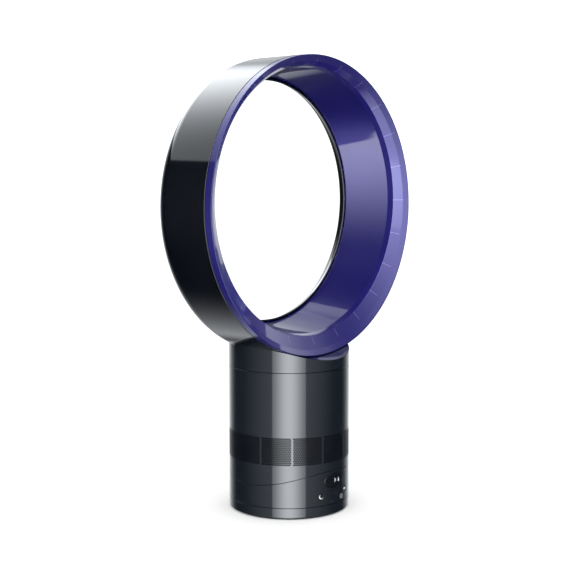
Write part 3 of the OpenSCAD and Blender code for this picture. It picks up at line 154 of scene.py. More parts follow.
class Skin:
    """Points, normals and faces of one piece, in millimetres."""

    def __init__(self) -> None:
        """Starts an empty skin."""
        self.points: list[np.ndarray] = []
        self.normals: list[np.ndarray] = []
        self.faces: list[list[int]] = []
        self.count = 0

    def add(self, points: np.ndarray, normals: np.ndarray, faces: np.ndarray) -> None:
        """Adds a patch.

        Args:
            points: Its points.
            normals: A normal for each point.
            faces: Indices of each face's points.
        """
        self.points.append(points)
        self.normals.append(normals)
        self.faces += (np.asarray(faces) + self.count).tolist()
        self.count += len(points)

    def grid(self, p: np.ndarray, around: bool = True, along: bool = False, flip: bool = False,
             first: np.ndarray | None = None, last: np.ndarray | None = None) -> None:
        """Adds a surface through a grid of points.

        Args:
            p: Points as an array of column, row and coordinate.
            around: Whether the columns close on themselves.
            along: Whether the rows close on themselves.
            flip: Whether the surface faces the other way.
            first: Normals of the first row, where a neighbour gives them.
            last: Normals of the last row.
        """
        n, m = p.shape[:2]
        du = np.roll(p, -1, 0) - np.roll(p, 1, 0) if around else np.gradient(p, axis=0)
        dv = np.roll(p, -1, 1) - np.roll(p, 1, 1) if along else np.gradient(p, axis=1)
        normal = unit(np.cross(du, dv)) * (-1 if flip else 1)
        if first is not None:
            normal[:, 0] = first
        if last is not None:
            normal[:, -1] = last
        a = np.arange(n if around else n - 1)[:, None]
        b = np.arange(m if along else m - 1)[None, :]
        a2, b2 = (a + 1) % n, (b + 1) % m
        quads = np.stack([a * m + b, a2 * m + b, a2 * m + b2, a * m + b2], -1).reshape(-1, 4)
        self.add(p.reshape(-1, 3), normal.reshape(-1, 3), quads[:, ::-1] if flip else quads)

    def turned(self, angle: np.ndarray, profile: np.ndarray, along: bool = True) -> None:
        """Adds a profile of radius and height for each angle about the fan's axis.

        Args:
            angle: Angles all round, in radians.
            profile: Radius and height, as an array of angle, row and coordinate.
            along: Whether the profile is closed.
        """
        points = around_axis(angle[:, None], profile[..., 0], profile[..., 1])
        self.grid(points, along=along)

    def make(self, name: str, body: str, nodes: Sequence[str], slot: str, paint: "Paintbox",
             other: str | None = None) -> bpy.types.Object:
        """Makes the piece and hangs it on its body.

        Args:
            name: Name of the piece.
            body: Body that it moves with.
            nodes: Nodes of the frame that it stands for.
            slot: Material slot of the record.
            paint: Materials.
            other: Key of another material, where it doesn't wear its slot's.

        Returns:
            The new object.
        """
        mesh = bpy.data.meshes.new(name)
        mesh.from_pydata((np.concatenate(self.points) * MM).tolist(), [], self.faces)
        mesh.shade_smooth()
        mesh.normals_split_custom_set_from_vertices(np.concatenate(self.normals).tolist())
        mesh.materials.append(paint.others[other] if other else paint.by_slot[slot])
        piece = hang(name, mesh)
        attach(piece, body)
        if nodes:
            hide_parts(*nodes)
        LOG.info("piece %s on %s: %d faces", name, body, len(self.faces))
        return piece


def triangulate(points: np.ndarray, edges: list[tuple[int, int]],
                inside: Callable[[np.ndarray], np.ndarray]) -> tuple[np.ndarray, np.ndarray]:
    """Fills a flat outline with triangles.

    Args:
        points: Flat points of the outline and its inside.
        edges: Pairs of points that the triangles keep to.
        inside: Says for each middle of a triangle whether it belongs.

    Returns:
        The flat points and the triangles, anticlockwise.
    """
    result = delaunay_2d_cdt([tuple(p) for p in points.tolist()], edges, [], 0, MERGED)
    flat = np.array([tuple(v) for v in result[0]])
    tris = np.array([f for f in result[2] if len(f) == 3])
    tris = tris[inside(flat[tris].mean(1))]
    a, b, c = flat[tris[:, 0]], flat[tris[:, 1]], flat[tris[:, 2]]
    area = (b - a)[:, 0] * (c - a)[:, 1] - (b - a)[:, 1] * (c - a)[:, 0]
    tris[area < 0] = tris[area < 0][:, ::-1]
    return flat, tris


def closed_edges(start: int, count: int) -> list[tuple[int, int]]:
    """Gives the edges of a closed run of points."""
    return [(start + i, start + (i + 1) % count) for i in range(count)]


@dataclass(frozen=True)
class Hole:
    """An oval hole in a round wall, straight towards the viewer."""

    angle: float
    z: float
    width: float
    height: float
    steps: int = 64

    def outline(self, grow: float, radius: float) -> np.ndarray:
        """Gives the hole's outline on the wall.

        Args:
            grow: How far the outline lies outside the hole.
            radius: Radius of the wall there.

        Returns:
            Angle from the front and height of each point.
        """
        turn = np.arange(self.steps) * 2 * np.pi / self.steps
        across = (self.width / 2 + grow) * np.cos(turn)
        up = (self.height / 2 + grow) * np.sin(turn)
        return np.stack([np.radians(self.angle) + np.arcsin(across / radius), self.z + up], -1)

    def holds(self, flat: np.ndarray, grow: float, radius: float) -> np.ndarray:
        """Says which points of angle and height lie in the hole.

        Args:
            flat: Angle from the front and height of each point.
            grow: How far outside the hole still counts.
            radius: Radius of the wall there.

        Returns:
            Yes or no for each point.
        """
        away = flat[:, 0] - np.radians(self.angle)
        across = np.sin(away) * radius / (self.width / 2 + grow)
        up = (flat[:, 1] - self.z) / (self.height / 2 + grow)
        return (across ** 2 + up ** 2 < 1) & (np.cos(away) > 0)


@dataclass
class RoundWall:
    """An upright round wall with oval holes, whose ends may be slanted."""

    outer_r: float
    inner_r: float
    bottom: Callable[[np.ndarray, float], np.ndarray]
    top: Callable[[np.ndarray, float], np.ndarray]
    holes: tuple[Hole, ...]
    edge: float = 0.35
    low_edge: float = 0.35
    columns: int = 240
    levels: int = 6
    rounding: int = 5
    hole_clearance: float = 0.9
    hole_slack: float = 0.02
    cut_at: float = -1.25 * np.pi

    def sheet(self, skin: Skin, outside: bool) -> None:
        """Adds the outer or inner face with its holes left open.

        Args:
            skin: Skin that the face goes to.
            outside: Whether it is the outer face.
        """
        radius = self.outer_r if outside else self.inner_r
        grow = self.edge if outside else 0.0
        angle = np.linspace(self.cut_at, self.cut_at + 2 * np.pi, self.columns + 1)
        low = self.bottom(angle, radius) + (self.low_edge if outside else 0)
        high = self.top(angle, radius) - (self.edge if outside else 0)
        share = np.linspace(0, 1, self.levels)
        field = np.stack([np.repeat(angle[:, None], self.levels, 1),
                          low[:, None] + (high - low)[:, None] * share], -1)
        flat = [field.reshape(-1, 2)]
        keep = np.ones(len(flat[0]), bool)
        for hole in self.holes:
            keep &= ~hole.holds(flat[0], grow + self.hole_clearance, radius)
        keep = keep.reshape(self.columns + 1, self.levels)
        keep[:, [0, -1]] = True
        keep[[0, -1], :] = True
        index = np.cumsum(keep.reshape(-1)).reshape(keep.shape) - 1
        borders = [index[:, 0], index[:, -1], index[0], index[-1]]
        edges = [(int(a), int(b)) for line in borders for a, b in zip(line[:-1], line[1:])]
        flat = [flat[0][keep.reshape(-1)]]
        start = len(flat[0])
        for hole in self.holes:
            flat.append(hole.outline(grow, radius))
            edges += closed_edges(start, hole.steps)
            start += hole.steps
        points = np.concatenate(flat) * [radius, 1]

        def inside(middle: np.ndarray) -> np.ndarray:
            """Says which middles lie on the wall.

            Args:
                middle: Middles of triangles.

            Returns:
                Yes or no for each.
            """
            turned = middle / [radius, 1]
            good = middle[:, 1] > np.interp(turned[:, 0], angle, low)
            good &= middle[:, 1] < np.interp(turned[:, 0], angle, high)
            for hole in self.holes:
                good &= ~hole.holds(turned, grow - self.hole_slack, radius)
            return good

        spread, tris = triangulate(points, edges, inside)
        turn = spread[:, 0] / radius
        points = around_axis(turn, radius, spread[:, 1])
        normals = around_axis(turn, 1.0, 0 * turn)
        if outside:
            skin.add(points, normals, tris)
        else:
            skin.add(points, -normals, tris[:, ::-1])

    def end(self, skin: Skin, upper: bool) -> None:
        """Adds the rounded edge and the end face at the top or the bottom.

        Args:
            skin: Skin that the end goes to.
            upper: Whether it is the top.
        """
        angle = np.linspace(-np.pi, np.pi, self.columns + 1)[:-1]
        level = self.top if upper else self.bottom
        corner = around_axis(angle, self.outer_r, level(angle, self.outer_r))
        inner = around_axis(angle, self.inner_r, level(angle, self.inner_r))
        size = self.edge if upper else self.low_edge
        start = corner + np.array([0, 0, -size if upper else size])
        finish = corner + unit(inner - corner) * size
        rows = [(1 - t) ** 2 * start + 2 * t * (1 - t) * corner + t ** 2 * finish
                for t in np.linspace(0, 1, self.rounding + 1)] + [inner]
        radial = around_axis(angle, 1.0, 0 * angle)
        points = np.stack(rows if upper else rows[::-1], 1)
        if upper:
            skin.grid(points, first=radial)
        else:
            skin.grid(points, last=radial)

    def rim(self, skin: Skin, hole: Hole) -> None:
        """Adds the rounded edge and the side of a hole.

        Args:
            skin: Skin that the rim goes to.
            hole: The hole.
        """
        rows = []
        for t in np.linspace(0, np.pi / 2, self.rounding + 1):
            radius = self.outer_r - self.edge * (1 - math.cos(t))
            flat = hole.outline(self.edge * (1 - math.sin(t)), radius)
            rows.append(around_axis(flat[:, 0], radius, flat[:, 1]))
        flat = hole.outline(0.0, self.inner_r)
        rows.append(around_axis(flat[:, 0], self.inner_r, flat[:, 1]))
        flat = hole.outline(self.edge, self.outer_r)
        skin.grid(np.stack(rows, 1), first=around_axis(flat[:, 0], 1.0, 0 * flat[:, 0]))

    def build(self, skin: Skin) -> None:
        """Adds the whole wall.

        Args:
            skin: Skin that it goes to.
        """
        self.sheet(skin, True)
        self.sheet(skin, False)
        self.end(skin, True)
        self.end(skin, False)
        for hole in self.holes:
            self.rim(skin, hole)


# Materials

class Wire:
    """A socket of a shader tree that can stand in an expression."""

    def __init__(self, shade: "Shade", socket: bpy.types.NodeSocket) -> None:
        """Keeps the tree and the socket."""
        self.shade = shade
        self.socket = socket

    def math(self, operation: str, *others: "Wire | float") -> "Wire":
        """Adds a Math node that starts from this value.

        Args:
            operation: Operation of the node.
            others: Its further values.

        Returns:
            The result.
        """
        return self.shade.maths(operation, self, *others)

    def __add__(self, other: "Wire | float") -> "Wire":
        """Adds."""
        return self.math("ADD", other)

    __radd__ = __add__

    def __sub__(self, other: "Wire | float") -> "Wire":
        """Takes away."""
        return self.math("SUBTRACT", other)

    def __rsub__(self, other: float) -> "Wire":
        """Takes away from a number."""
        return self.shade.maths("SUBTRACT", other, self)

    def __mul__(self, other: "Wire | float") -> "Wire":
        """Multiplies."""
        return self.math("MULTIPLY", other)

    __rmul__ = __mul__

    def __truediv__(self, other: "Wire | float") -> "Wire":
        """Divides."""
        return self.math("DIVIDE", other)

    def __abs__(self) -> "Wire":
        """Gives the size without its sign."""
        return self.math("ABSOLUTE")

    def most(self, other: "Wire | float") -> "Wire":
        """Gives the larger of two."""
        return self.math("MAXIMUM", other)

    def bell(self, middle: float, spread: float) -> "Wire":
        """Gives a bell curve over this value, with a height of one.

        Args:
            middle: Value under its top.
            spread: How far it spreads to either side.

        Returns:
            The curve's height.
        """
        wide = (self - middle) / spread
        return (wide * wide * -0.5).math("EXPONENT")


class Shade:
    """A shader tree under construction."""

    def __init__(self, tree: bpy.types.NodeTree) -> None:
        """Empties the tree.

        Args:
            tree: Tree of a material or of the world.
        """
        self.tree = tree
        tree.nodes.clear()

    def node(self, kind: str, settings: dict[str, Any] | None = None,
             inputs: dict[Any, Any] | None = None, out: Any = 0) -> Wire:
        """Adds a node.

        Args:
            kind: Type of the node.
            settings: Its settings, which are set first.
            inputs: Values or links of its sockets, by name or number.
            out: Output that is wanted, by name or number.

        Returns:
            The wanted output, or the node's first input where it has no output.
        """
        made = self.tree.nodes.new(kind)
        for key, value in (settings or {}).items():
            setattr(made, key, value)
        for key, value in (inputs or {}).items():
            socket = made.inputs[key]
            if isinstance(value, Wire):
                self.tree.links.new(value.socket, socket)
            else:
                socket.default_value = value
        return Wire(self, made.outputs[out] if len(made.outputs) else made.inputs[0])

    def maths(self, operation: str, *values: Wire | float) -> Wire:
        """Adds a Math node.

        Args:
            operation: Operation of the node.
            values: Its values.

        Returns:
            The result.
        """
        return self.node("ShaderNodeMath", {"operation": operation}, dict(enumerate(values)))

    def step(self, value: Wire, low: float, high: float, start: float = 0.0,
             end: float = 1.0) -> Wire:
        """Blends smoothly between two numbers as a value rises.

        Args:
            value: The value.
            low: Where the blend starts.
            high: Where it ends.
            start: Result before it.
            end: Result after it.

        Returns:
            The blended number.
        """
        return self.node("ShaderNodeMapRange", {"interpolation_type": "SMOOTHSTEP"}, {
            "Value": value, "From Min": low, "From Max": high, "To Min": start, "To Max": end,
        })

    def mix(self, factor: Wire | float, first: Wire | Colour, second: Wire | Colour) -> Wire:
        """Mixes two colours.

        Args:
            factor: Share of the second.
            first: First colour.
            second: Second colour.

        Returns:
            The mixed colour.
        """
        share, start, end, result = COLOUR_SOCKETS
        ends = [(*c, 1.0) if isinstance(c, tuple) else c for c in (first, second)]
        return self.node("ShaderNodeMix", {"data_type": "RGBA"},
                         {share: factor, start: ends[0], end: ends[1]}, result)

    def place(self) -> Wire:
        """Gives the point on the piece, in metres."""
        return self.node("ShaderNodeTexCoord", out="Object")

    def axes(self, place: Wire) -> list[Wire]:
        """Gives the three coordinates of a point."""
        return [self.node("ShaderNodeSeparateXYZ", None, {0: place}, i) for i in range(3)]

    def noise(self, scale: float, detail: float = 3.0, where: Wire | None = None) -> Wire:
        """Gives smooth noise.

        Args:
            scale: Features for each metre.
            detail: Levels of detail.
            where: Place that it is read at.

        Returns:
            A value near a half.
        """
        return self.node("ShaderNodeTexNoise", None, {
            "Vector": where or self.place(), "Scale": scale, "Detail": detail,
        }, "Fac")


def blank_material(name: str) -> tuple[bpy.types.Material, Shade]:
    """Makes a material with an empty tree.

    Args:
        name: Name of the material.

    Returns:
        The material and its tree.
    """
    made = bpy.data.materials.new(name)
    made.use_nodes = True
    return made, Shade(made.node_tree)


@dataclass(frozen=True)
class Fade:
    """A smooth change between two numbers while a value goes from one mark to another."""

    low: float
    high: float
    start: float = 0.0
    end: float = 1.0

    def over(self, value: Wire) -> Wire:
        """Gives the number for a value."""
        return value.shade.step(value, self.low, self.high, self.start, self.end)


def faded(value: Wire, fades: Sequence[Fade]) -> Wire:
    """Multiplies several changes over the same value."""
    return math.prod(fade.over(value) for fade in fades)


@dataclass(frozen=True)
class Ribs:
    """Faint marks of the ribs behind the tapered front of the loop, in metres."""

    count: int = 24
    middle_z: float = 0.3753
    width: Fade = Fade(0.004, 0.012, 1.0, 0.0)
    depths: tuple[Fade, ...] = (Fade(-0.0365, -0.0355, 1.0, 0.0), Fade(-0.0468, -0.0462))
    reach: Fade = Fade(0.1705, 0.1725, 0.7, 0.0)
    tint: Colour = (0.16, 0.15, 0.42)

    def marks(self, shade: Shade, place: Wire) -> Wire:
        """Says where the marks are.

        Args:
            shade: Tree that the nodes go to.
            place: Point on the piece, in metres.

        Returns:
            One on a mark and nought beside it.
        """
        across, depth, up = shade.axes(place)
        up = up - self.middle_z
        turn = across.math("ARCTAN2", up) * (self.count / (2 * math.pi)) + 0.5
        beside = abs(turn.math("FRACT") - 0.5)
        away = (across * across + up * up).math("SQRT")
        return self.width.over(beside) * faded(depth, self.depths) * self.reach.over(away)


class Pattern(Enum):
    """What a surface shows from close by."""

    MOULDED = "moulded plastic with a faint ripple"
    LACQUER = "deep lacquer with fine flakes and moulded ribs"
    GRAINED = "matt plastic or rubber with a fine grain"
    METAL = "metal with fine scratches"
    FOAM = "open foam"
    BOARD = "circuit board with tracks"
    WOUND = "wound wire"


@dataclass(frozen=True)
class Texture:
    """How the patterns are laid out. Scales count features in a metre."""

    broad_share: float = 60.0
    broad_detail: float = 2.0
    fine_detail: float = 4.0
    scratch_detail: float = 3.0
    gloss_band: tuple[float, float] = (0.3, 0.7)
    mottle: Fade = Fade(0.45, 0.85)
    fine_share: float = 0.3
    flake_scale: float = 4200.0
    flakes: Fade = Fade(0.2, 1.0, 0.0, 0.35)
    scratch_stretch: tuple[float, float, float] = (1.0, 1.0, 18.0)
    scratches: Fade = Fade(0.35, 0.65)
    pores: Fade = Fade(0.1, 0.6)
    tracks: Fade = Fade(0.04, 0.1)
    track_waver: float = 0.35
    wire_waver: float = 0.3
    bump_depth: float = 0.0002


TEXTURE = Texture()
RIBS = Ribs()


@dataclass(frozen=True)
class Finish:
    """Colour and gloss of one material slot."""

    slot: str
    pattern: Pattern
    colour: Colour
    second: Colour
    roughness: float
    spread: float = 0.05
    metallic: float = 0.0
    coat: float = 0.0
    coat_roughness: float = 0.03
    bump: float = 0.02
    scale: float = 900.0
    specular: float = 0.5

    def material(self) -> bpy.types.Material:
        """Makes the material of this finish.

        Returns:
            The material.
        """
        made, shade = blank_material(self.slot)
        colour, height, gloss = self.surface(shade)
        normal = shade.node("ShaderNodeBump", None, {
            "Strength": self.bump, "Distance": TEXTURE.bump_depth, "Height": height,
        })
        shader = shade.node("ShaderNodeBsdfPrincipled", None, {
            "Base Color": colour, "Roughness": gloss, "Metallic": self.metallic,
            "Coat Weight": self.coat, "Coat Roughness": self.coat_roughness, "Normal": normal,
            "Specular IOR Level": self.specular,
        })
        shade.node("ShaderNodeOutputMaterial", None, {"Surface": shader})
        made.diffuse_color = (*self.colour, 1.0)
        return made

    def surface(self, shade: Shade) -> tuple[Wire, Wire, Wire]:
        """Gives colour, height and roughness over the surface.

        Args:
            shade: Tree that the nodes go to.

        Returns:
            Colour, height and roughness.
        """
        place = shade.place()
        broad = shade.noise(self.scale / TEXTURE.broad_share, TEXTURE.broad_detail, place)
        fine = shade.noise(self.scale, TEXTURE.fine_detail, place)
        gloss = shade.step(broad, *TEXTURE.gloss_band, self.roughness - self.spread / 2,
                           self.roughness + self.spread / 2)
        if self.pattern is Pattern.LACQUER:
            return self.lacquer(shade, place), broad, gloss
        if self.pattern is Pattern.METAL:
            stretch = shade.node("ShaderNodeMapping", None, {
                "Vector": place, "Scale": TEXTURE.scratch_stretch,
            })
            scratch = shade.noise(self.scale, TEXTURE.scratch_detail, stretch)
            colour = shade.mix(TEXTURE.scratches.over(scratch), self.colour, self.second)
            gloss = shade.step(scratch, *TEXTURE.gloss_band, self.roughness,
                               self.roughness + self.spread)
            return colour, scratch, gloss
        if self.pattern is Pattern.FOAM:
            pores = shade.node("ShaderNodeTexVoronoi", None, {
                "Vector": place, "Scale": self.scale,
            }, "Distance")
            return shade.mix(TEXTURE.pores.over(pores), self.second, self.colour), pores, gloss
        if self.pattern is Pattern.BOARD:
            tracks = shade.node("ShaderNodeTexVoronoi", {"feature": "DISTANCE_TO_EDGE"}, {
                "Vector": place, "Scale": self.scale, "Randomness": TEXTURE.track_waver,
            }, "Distance")
            return shade.mix(TEXTURE.tracks.over(tracks), self.second, self.colour), tracks, gloss
        if self.pattern is Pattern.WOUND:
            wire = shade.node("ShaderNodeTexWave", {"bands_direction": "Z"}, {
                "Vector": place, "Scale": self.scale, "Distortion": TEXTURE.wire_waver,
            }, "Fac")
            return shade.mix(wire, self.second, self.colour), wire, gloss
        height = broad if self.pattern is Pattern.MOULDED else fine
        mottle = TEXTURE.mottle.over(broad + fine * TEXTURE.fine_share)
        return shade.mix(mottle, self.colour, self.second), height, gloss

    def lacquer(self, shade: Shade, place: Wire) -> Wire:
        """Gives the colour of the lacquer with its flakes and the marks of the ribs.

        Args:
            shade: Tree that the nodes go to.
            place: Point on the piece, in metres.

        Returns:
            The colour.
        """
        cells = shade.node("ShaderNodeTexVoronoi", None, {
            "Vector": place, "Scale": TEXTURE.flake_scale,
        }, "Color")
        flake = shade.node("ShaderNodeSeparateColor", None, {0: cells}, 0)
        base = shade.mix(TEXTURE.flakes.over(flake), self.colour, self.second)
        return shade.mix(RIBS.marks(shade, place), base, RIBS.tint)


FINISHES = (
    Finish("iron_gloss", Pattern.MOULDED, (0.007, 0.010, 0.015), (0.009, 0.012, 0.018), 0.08, 0.03,
           coat=1.0, coat_roughness=0.02, bump=0.006, scale=700.0),
    Finish("loop_black", Pattern.MOULDED, (0.0015, 0.0025, 0.005), (0.003, 0.004, 0.007), 0.08, 0.03,
           coat=1.0, coat_roughness=0.02, bump=0.006, scale=600.0),
    Finish("loop_violet", Pattern.LACQUER, (0.009, 0.006, 0.142), (0.019, 0.015, 0.220), 0.30, 0.05,
           metallic=0.40, coat=1.0, coat_roughness=0.02, bump=0.004, scale=600.0),
    Finish("key_gloss", Pattern.MOULDED, (0.004, 0.005, 0.008), (0.006, 0.007, 0.011), 0.26, 0.06,
           coat=0.5, coat_roughness=0.05, bump=0.01, scale=1500.0),
    Finish("smoked_window", Pattern.MOULDED, (0.010, 0.010, 0.013), (0.016, 0.016, 0.02), 0.06, 0.04,
           coat=1.0, coat_roughness=0.01, bump=0.002, scale=1500.0),
    Finish("grille_black", Pattern.MOULDED, (0.007, 0.010, 0.015), (0.009, 0.012, 0.018), 0.18, 0.06,
           coat=1.0, coat_roughness=0.03, bump=0.01, scale=1200.0),
    Finish("black_inner", Pattern.GRAINED, (0.016, 0.017, 0.019), (0.024, 0.025, 0.028), 0.48, 0.1,
           bump=0.12, scale=2600.0),
    Finish("white_inner", Pattern.GRAINED, (0.62, 0.62, 0.60), (0.70, 0.70, 0.68), 0.42, 0.1,
           bump=0.08, scale=2600.0),
    Finish("grey_inner", Pattern.GRAINED, (0.22, 0.23, 0.24), (0.28, 0.29, 0.30), 0.45, 0.1,
           bump=0.1, scale=2600.0),
    Finish("board_green", Pattern.BOARD, (0.020, 0.110, 0.045), (0.09, 0.20, 0.10), 0.35, 0.08,
           coat=0.4, coat_roughness=0.15, bump=0.1, scale=260.0),
    Finish("rubber_black", Pattern.GRAINED, (0.014, 0.014, 0.015), (0.026, 0.026, 0.027), 0.72, 0.14,
           bump=0.3, scale=3200.0),
    Finish("foam_grey", Pattern.FOAM, (0.035, 0.035, 0.037), (0.012, 0.012, 0.013), 0.92, 0.06,
           bump=0.8, scale=900.0),
    Finish("screw_steel", Pattern.METAL, (0.52, 0.53, 0.55), (0.62, 0.63, 0.65), 0.26, 0.12,
           metallic=1.0, bump=0.05, scale=1600.0),
    Finish("runner_steel", Pattern.METAL, (0.48, 0.49, 0.51), (0.58, 0.59, 0.61), 0.30, 0.12,
           metallic=1.0, bump=0.06, scale=1400.0),
    Finish("motor_steel", Pattern.METAL, (0.36, 0.37, 0.39), (0.50, 0.51, 0.53), 0.34, 0.14,
           metallic=1.0, bump=0.06, scale=1200.0),
    Finish("coil_copper", Pattern.WOUND, (0.72, 0.33, 0.15), (0.36, 0.13, 0.05), 0.30, 0.1,
           metallic=1.0, bump=0.5, scale=620.0),
)
OTHER_FINISHES = {
    "white": Finish("sign_white", Pattern.GRAINED, (0.80, 0.81, 0.83), (0.86, 0.87, 0.88), 0.4, 0.06,
                    bump=0.03, scale=5000.0),
    "grey": Finish("sign_grey", Pattern.GRAINED, (0.32, 0.33, 0.35), (0.38, 0.39, 0.41), 0.4, 0.06,
                    bump=0.03, scale=5000.0),
    # Near-black finish with almost no gloss for the liner behind the band: partly a real liner and partly
    # painted shade that keeps the intake dark behind the holes.
    "gauze_and_shade": Finish("gauze_black", Pattern.FOAM, (0.010, 0.013, 0.018), (0.005, 0.007, 0.010), 0.9, 0.06,
                    bump=0.4, scale=2200.0, specular=0.05),
}


class Paintbox:
    """All materials, made once each."""

    def __init__(self) -> None:
        """Makes a material for each finish."""
        self.by_slot = {finish.slot: finish.material() for finish in FINISHES}
        self.others = {key: finish.material() for key, finish in OTHER_FINISHES.items()}

    def dress_frame(self) -> None:
        """Gives every node of the frame the material of its slot."""
        for part in frame["record"]["subparts"]:
            node = frame["nodes"][part["node"]]
            node.data.materials.clear()
            node.data.materials.append(self.by_slot[part["material_slot"]])
            LOG.info("node %s dressed in %s", part["node"], part["material_slot"])


# Sub-assemblies

@dataclass
class Body:
    """Sizes that the casings share, in millimetres."""

    base_r: float = 74.0
    bore_r: float = 71.5
    pivot_z: float = 217.0
    cradle_r: float = 178.2
    shoe_r: float = 177.8
    columns: int = 360

    def angles(self) -> np.ndarray:
        """Gives the angles all round, in radians."""
        return np.arange(self.columns) * 2 * np.pi / self.columns

    def seam(self, seam_r: float) -> Callable[[np.ndarray, float], np.ndarray]:
        """Gives the height of a seam that is round about the tilt axis.

        Args:
            seam_r: Radius of the seam.

        Returns:
            A function of angle and radius.
        """
        def level(angle: np.ndarray, radius: float) -> np.ndarray:
            """Gives the height at an angle and a radius."""
            return self.pivot_z - np.sqrt(seam_r ** 2 - (radius * np.cos(angle)) ** 2)

        return level


@dataclass
class Foot:
    """The foot that stays still."""

    body: Body
    low_z: float = 0.8
    high_z: float = 13.4
    floor_z: float = 3.4
    edge_r: float = 2.0
    groove: tuple[float, float, float] = (59.0, 68.0, 2.0)
    edge_steps: int = 9
    screws: int = 4
    first_screw: float = 45.0
    screw_circle_r: float = 46.0
    recess_r: float = 2.9
    recess_slack: float = 0.99
    recess_steps: int = 30
    disc_steps: int = 120
    disc_rings: tuple[float, ...] = (15.0, 30.0, 52.0)
    lead_hole: Hole = Hole(-180.0, 6.9, 8.15, 8.15, 48)

    def disc(self, skin: Skin, radius: float, z: float, down: bool) -> None:
        """Adds a flat face with the holes of the screws.

        Args:
            skin: Skin that it goes to.
            radius: Radius of the face.
            z: Its height.
            down: Whether it faces down.
        """
        rings = [circle(radius, self.disc_steps)]
        rings += [circle(ring_r, self.recess_steps) for ring_r in self.disc_rings]
        edges = closed_edges(0, self.disc_steps)
        start = sum(len(ring) for ring in rings)
        middles = self.screw_middles()
        for middle in middles:
            rings.append(middle + circle(self.recess_r, self.recess_steps))
            edges += closed_edges(start, self.recess_steps)
            start += self.recess_steps

        def inside(middle: np.ndarray) -> np.ndarray:
            """Says which middles lie on the face."""
            away = np.linalg.norm(middle[:, None] - middles[None], axis=-1).min(1)
            return (np.linalg.norm(middle, axis=-1) < radius) & (away > self.recess_r * self.recess_slack)

        flat, tris = triangulate(np.concatenate(rings), edges, inside)
        points = np.column_stack([flat, np.full(len(flat), z)])
        normals = np.tile([0.0, 0.0, -1.0 if down else 1.0], (len(flat), 1))
        skin.add(points, normals, tris[:, ::-1] if down else tris)

    def screw_middles(self) -> np.ndarray:
        """Gives the places of the screws."""
        turn = np.radians(self.first_screw + 360 / self.screws * np.arange(self.screws))
        return self.screw_circle_r * np.stack([np.cos(turn), np.sin(turn)], -1)

    def build(self, paint: Paintbox) -> None:
        """Makes the foot.

        Args:
            paint: Materials.
        """
        skin = Skin()
        body = self.body

        def bottom(angle: np.ndarray, radius: float) -> np.ndarray:
            """Gives the height of the wall's lower end, outside or inside."""
            return (self.low_z if radius > body.bore_r else self.floor_z) + 0 * angle

        wall = RoundWall(body.base_r, body.bore_r, bottom, lambda angle, radius: self.high_z + 0 * angle,
                         (self.lead_hole,), low_edge=self.edge_r)
        wall.sheet(skin, True)
        wall.sheet(skin, False)
        wall.end(skin, True)
        wall.rim(skin, self.lead_hole)
        inner, outer, deep = self.groove
        turn = np.linspace(-np.pi / 2, 0, self.edge_steps)
        arc = np.stack([body.base_r - self.edge_r + self.edge_r * np.cos(turn),
                        self.low_z + self.edge_r + self.edge_r * np.sin(turn)], -1)
        groove = [(inner, self.low_z), (inner, deep), (outer, deep), (outer, self.low_z)]
        profile = np.concatenate([groove, arc])
        angle = np.linspace(-np.pi, np.pi, wall.columns + 1)[:-1]
        skin.turned(angle, np.tile(profile, (len(angle), 1, 1)), along=False)
        self.disc(skin, inner, self.low_z, True)
        self.disc(skin, body.bore_r, self.floor_z, False)
        for middle in self.screw_middles():
            ring = middle + circle(self.recess_r, self.recess_steps)
            rows = [np.column_stack([ring, np.full(len(ring), z)]) for z in (self.low_z, self.floor_z)]
            skin.grid(np.stack(rows, 1), flip=True)
        skin.make("foot_casing", "foot", ["foot_shell"], "iron_gloss", paint)


@dataclass
class Controls:
    """The turning part's casing with its keys, rocker and signs."""

    body: Body
    low_z: float = 13.9
    key_r: float = 3.7
    key_gap: float = 0.25
    key_back_r: float = 66.0
    key_dish: float = 0.35
    keys: tuple[tuple[str, float, float], ...] = (
        ("power", 11.0, 20.0), ("timer", -16.8, 25.0), ("swivel", 18.4, 27.0),
    )
    rocker: Hole = Hole(0.0, 42.0, 33.9, 16.9, 96)
    rocker_size: tuple[float, float] = (33.0, 16.0)
    rocker_back_r: float = 67.5
    rocker_dish: float = 0.9
    rocker_edge: float = 0.7
    window: Hole = Hole(-1.0, 26.4, 11.2, 7.4)
    eye: Hole = Hole(-5.2, 17.8, 3.4, 3.4, 32)
    levels: int = 9

    def build(self, paint: Paintbox) -> None:
        """Makes the casing and all that sits in it.

        Args:
            paint: Materials.
        """
        body = self.body
        across = 2 * (self.key_r + self.key_gap)
        holes = [Hole(angle, z, across, across) for _, angle, z in self.keys]
        skin = Skin()
        RoundWall(body.base_r, body.bore_r, lambda angle, radius: self.low_z + 0 * angle,
                  body.seam(body.cradle_r), (*holes, self.rocker, self.window, self.eye),
                  levels=self.levels).build(skin)
        skin.make("turning_casing", "lower_body", ["lower_casing"], "iron_gloss", paint)
        caps = {}
        for name, angle, z in self.keys:
            size = 2 * self.key_r
            caps[name] = Cap(body.base_r, angle, z, size, size, self.key_back_r, self.key_dish)
            caps[name].build(f"{name}_key_cap", f"{name}_key", f"{name}_button", paint)
        rocker = Cap(body.base_r, self.rocker.angle, self.rocker.z, *self.rocker_size,
                     self.rocker_back_r, self.rocker_dish, self.rocker_edge)
        rocker.build("airflow_rocker_cap", "airflow_key", "airflow_rocker", paint)
        Signs(paint).build(caps, rocker)


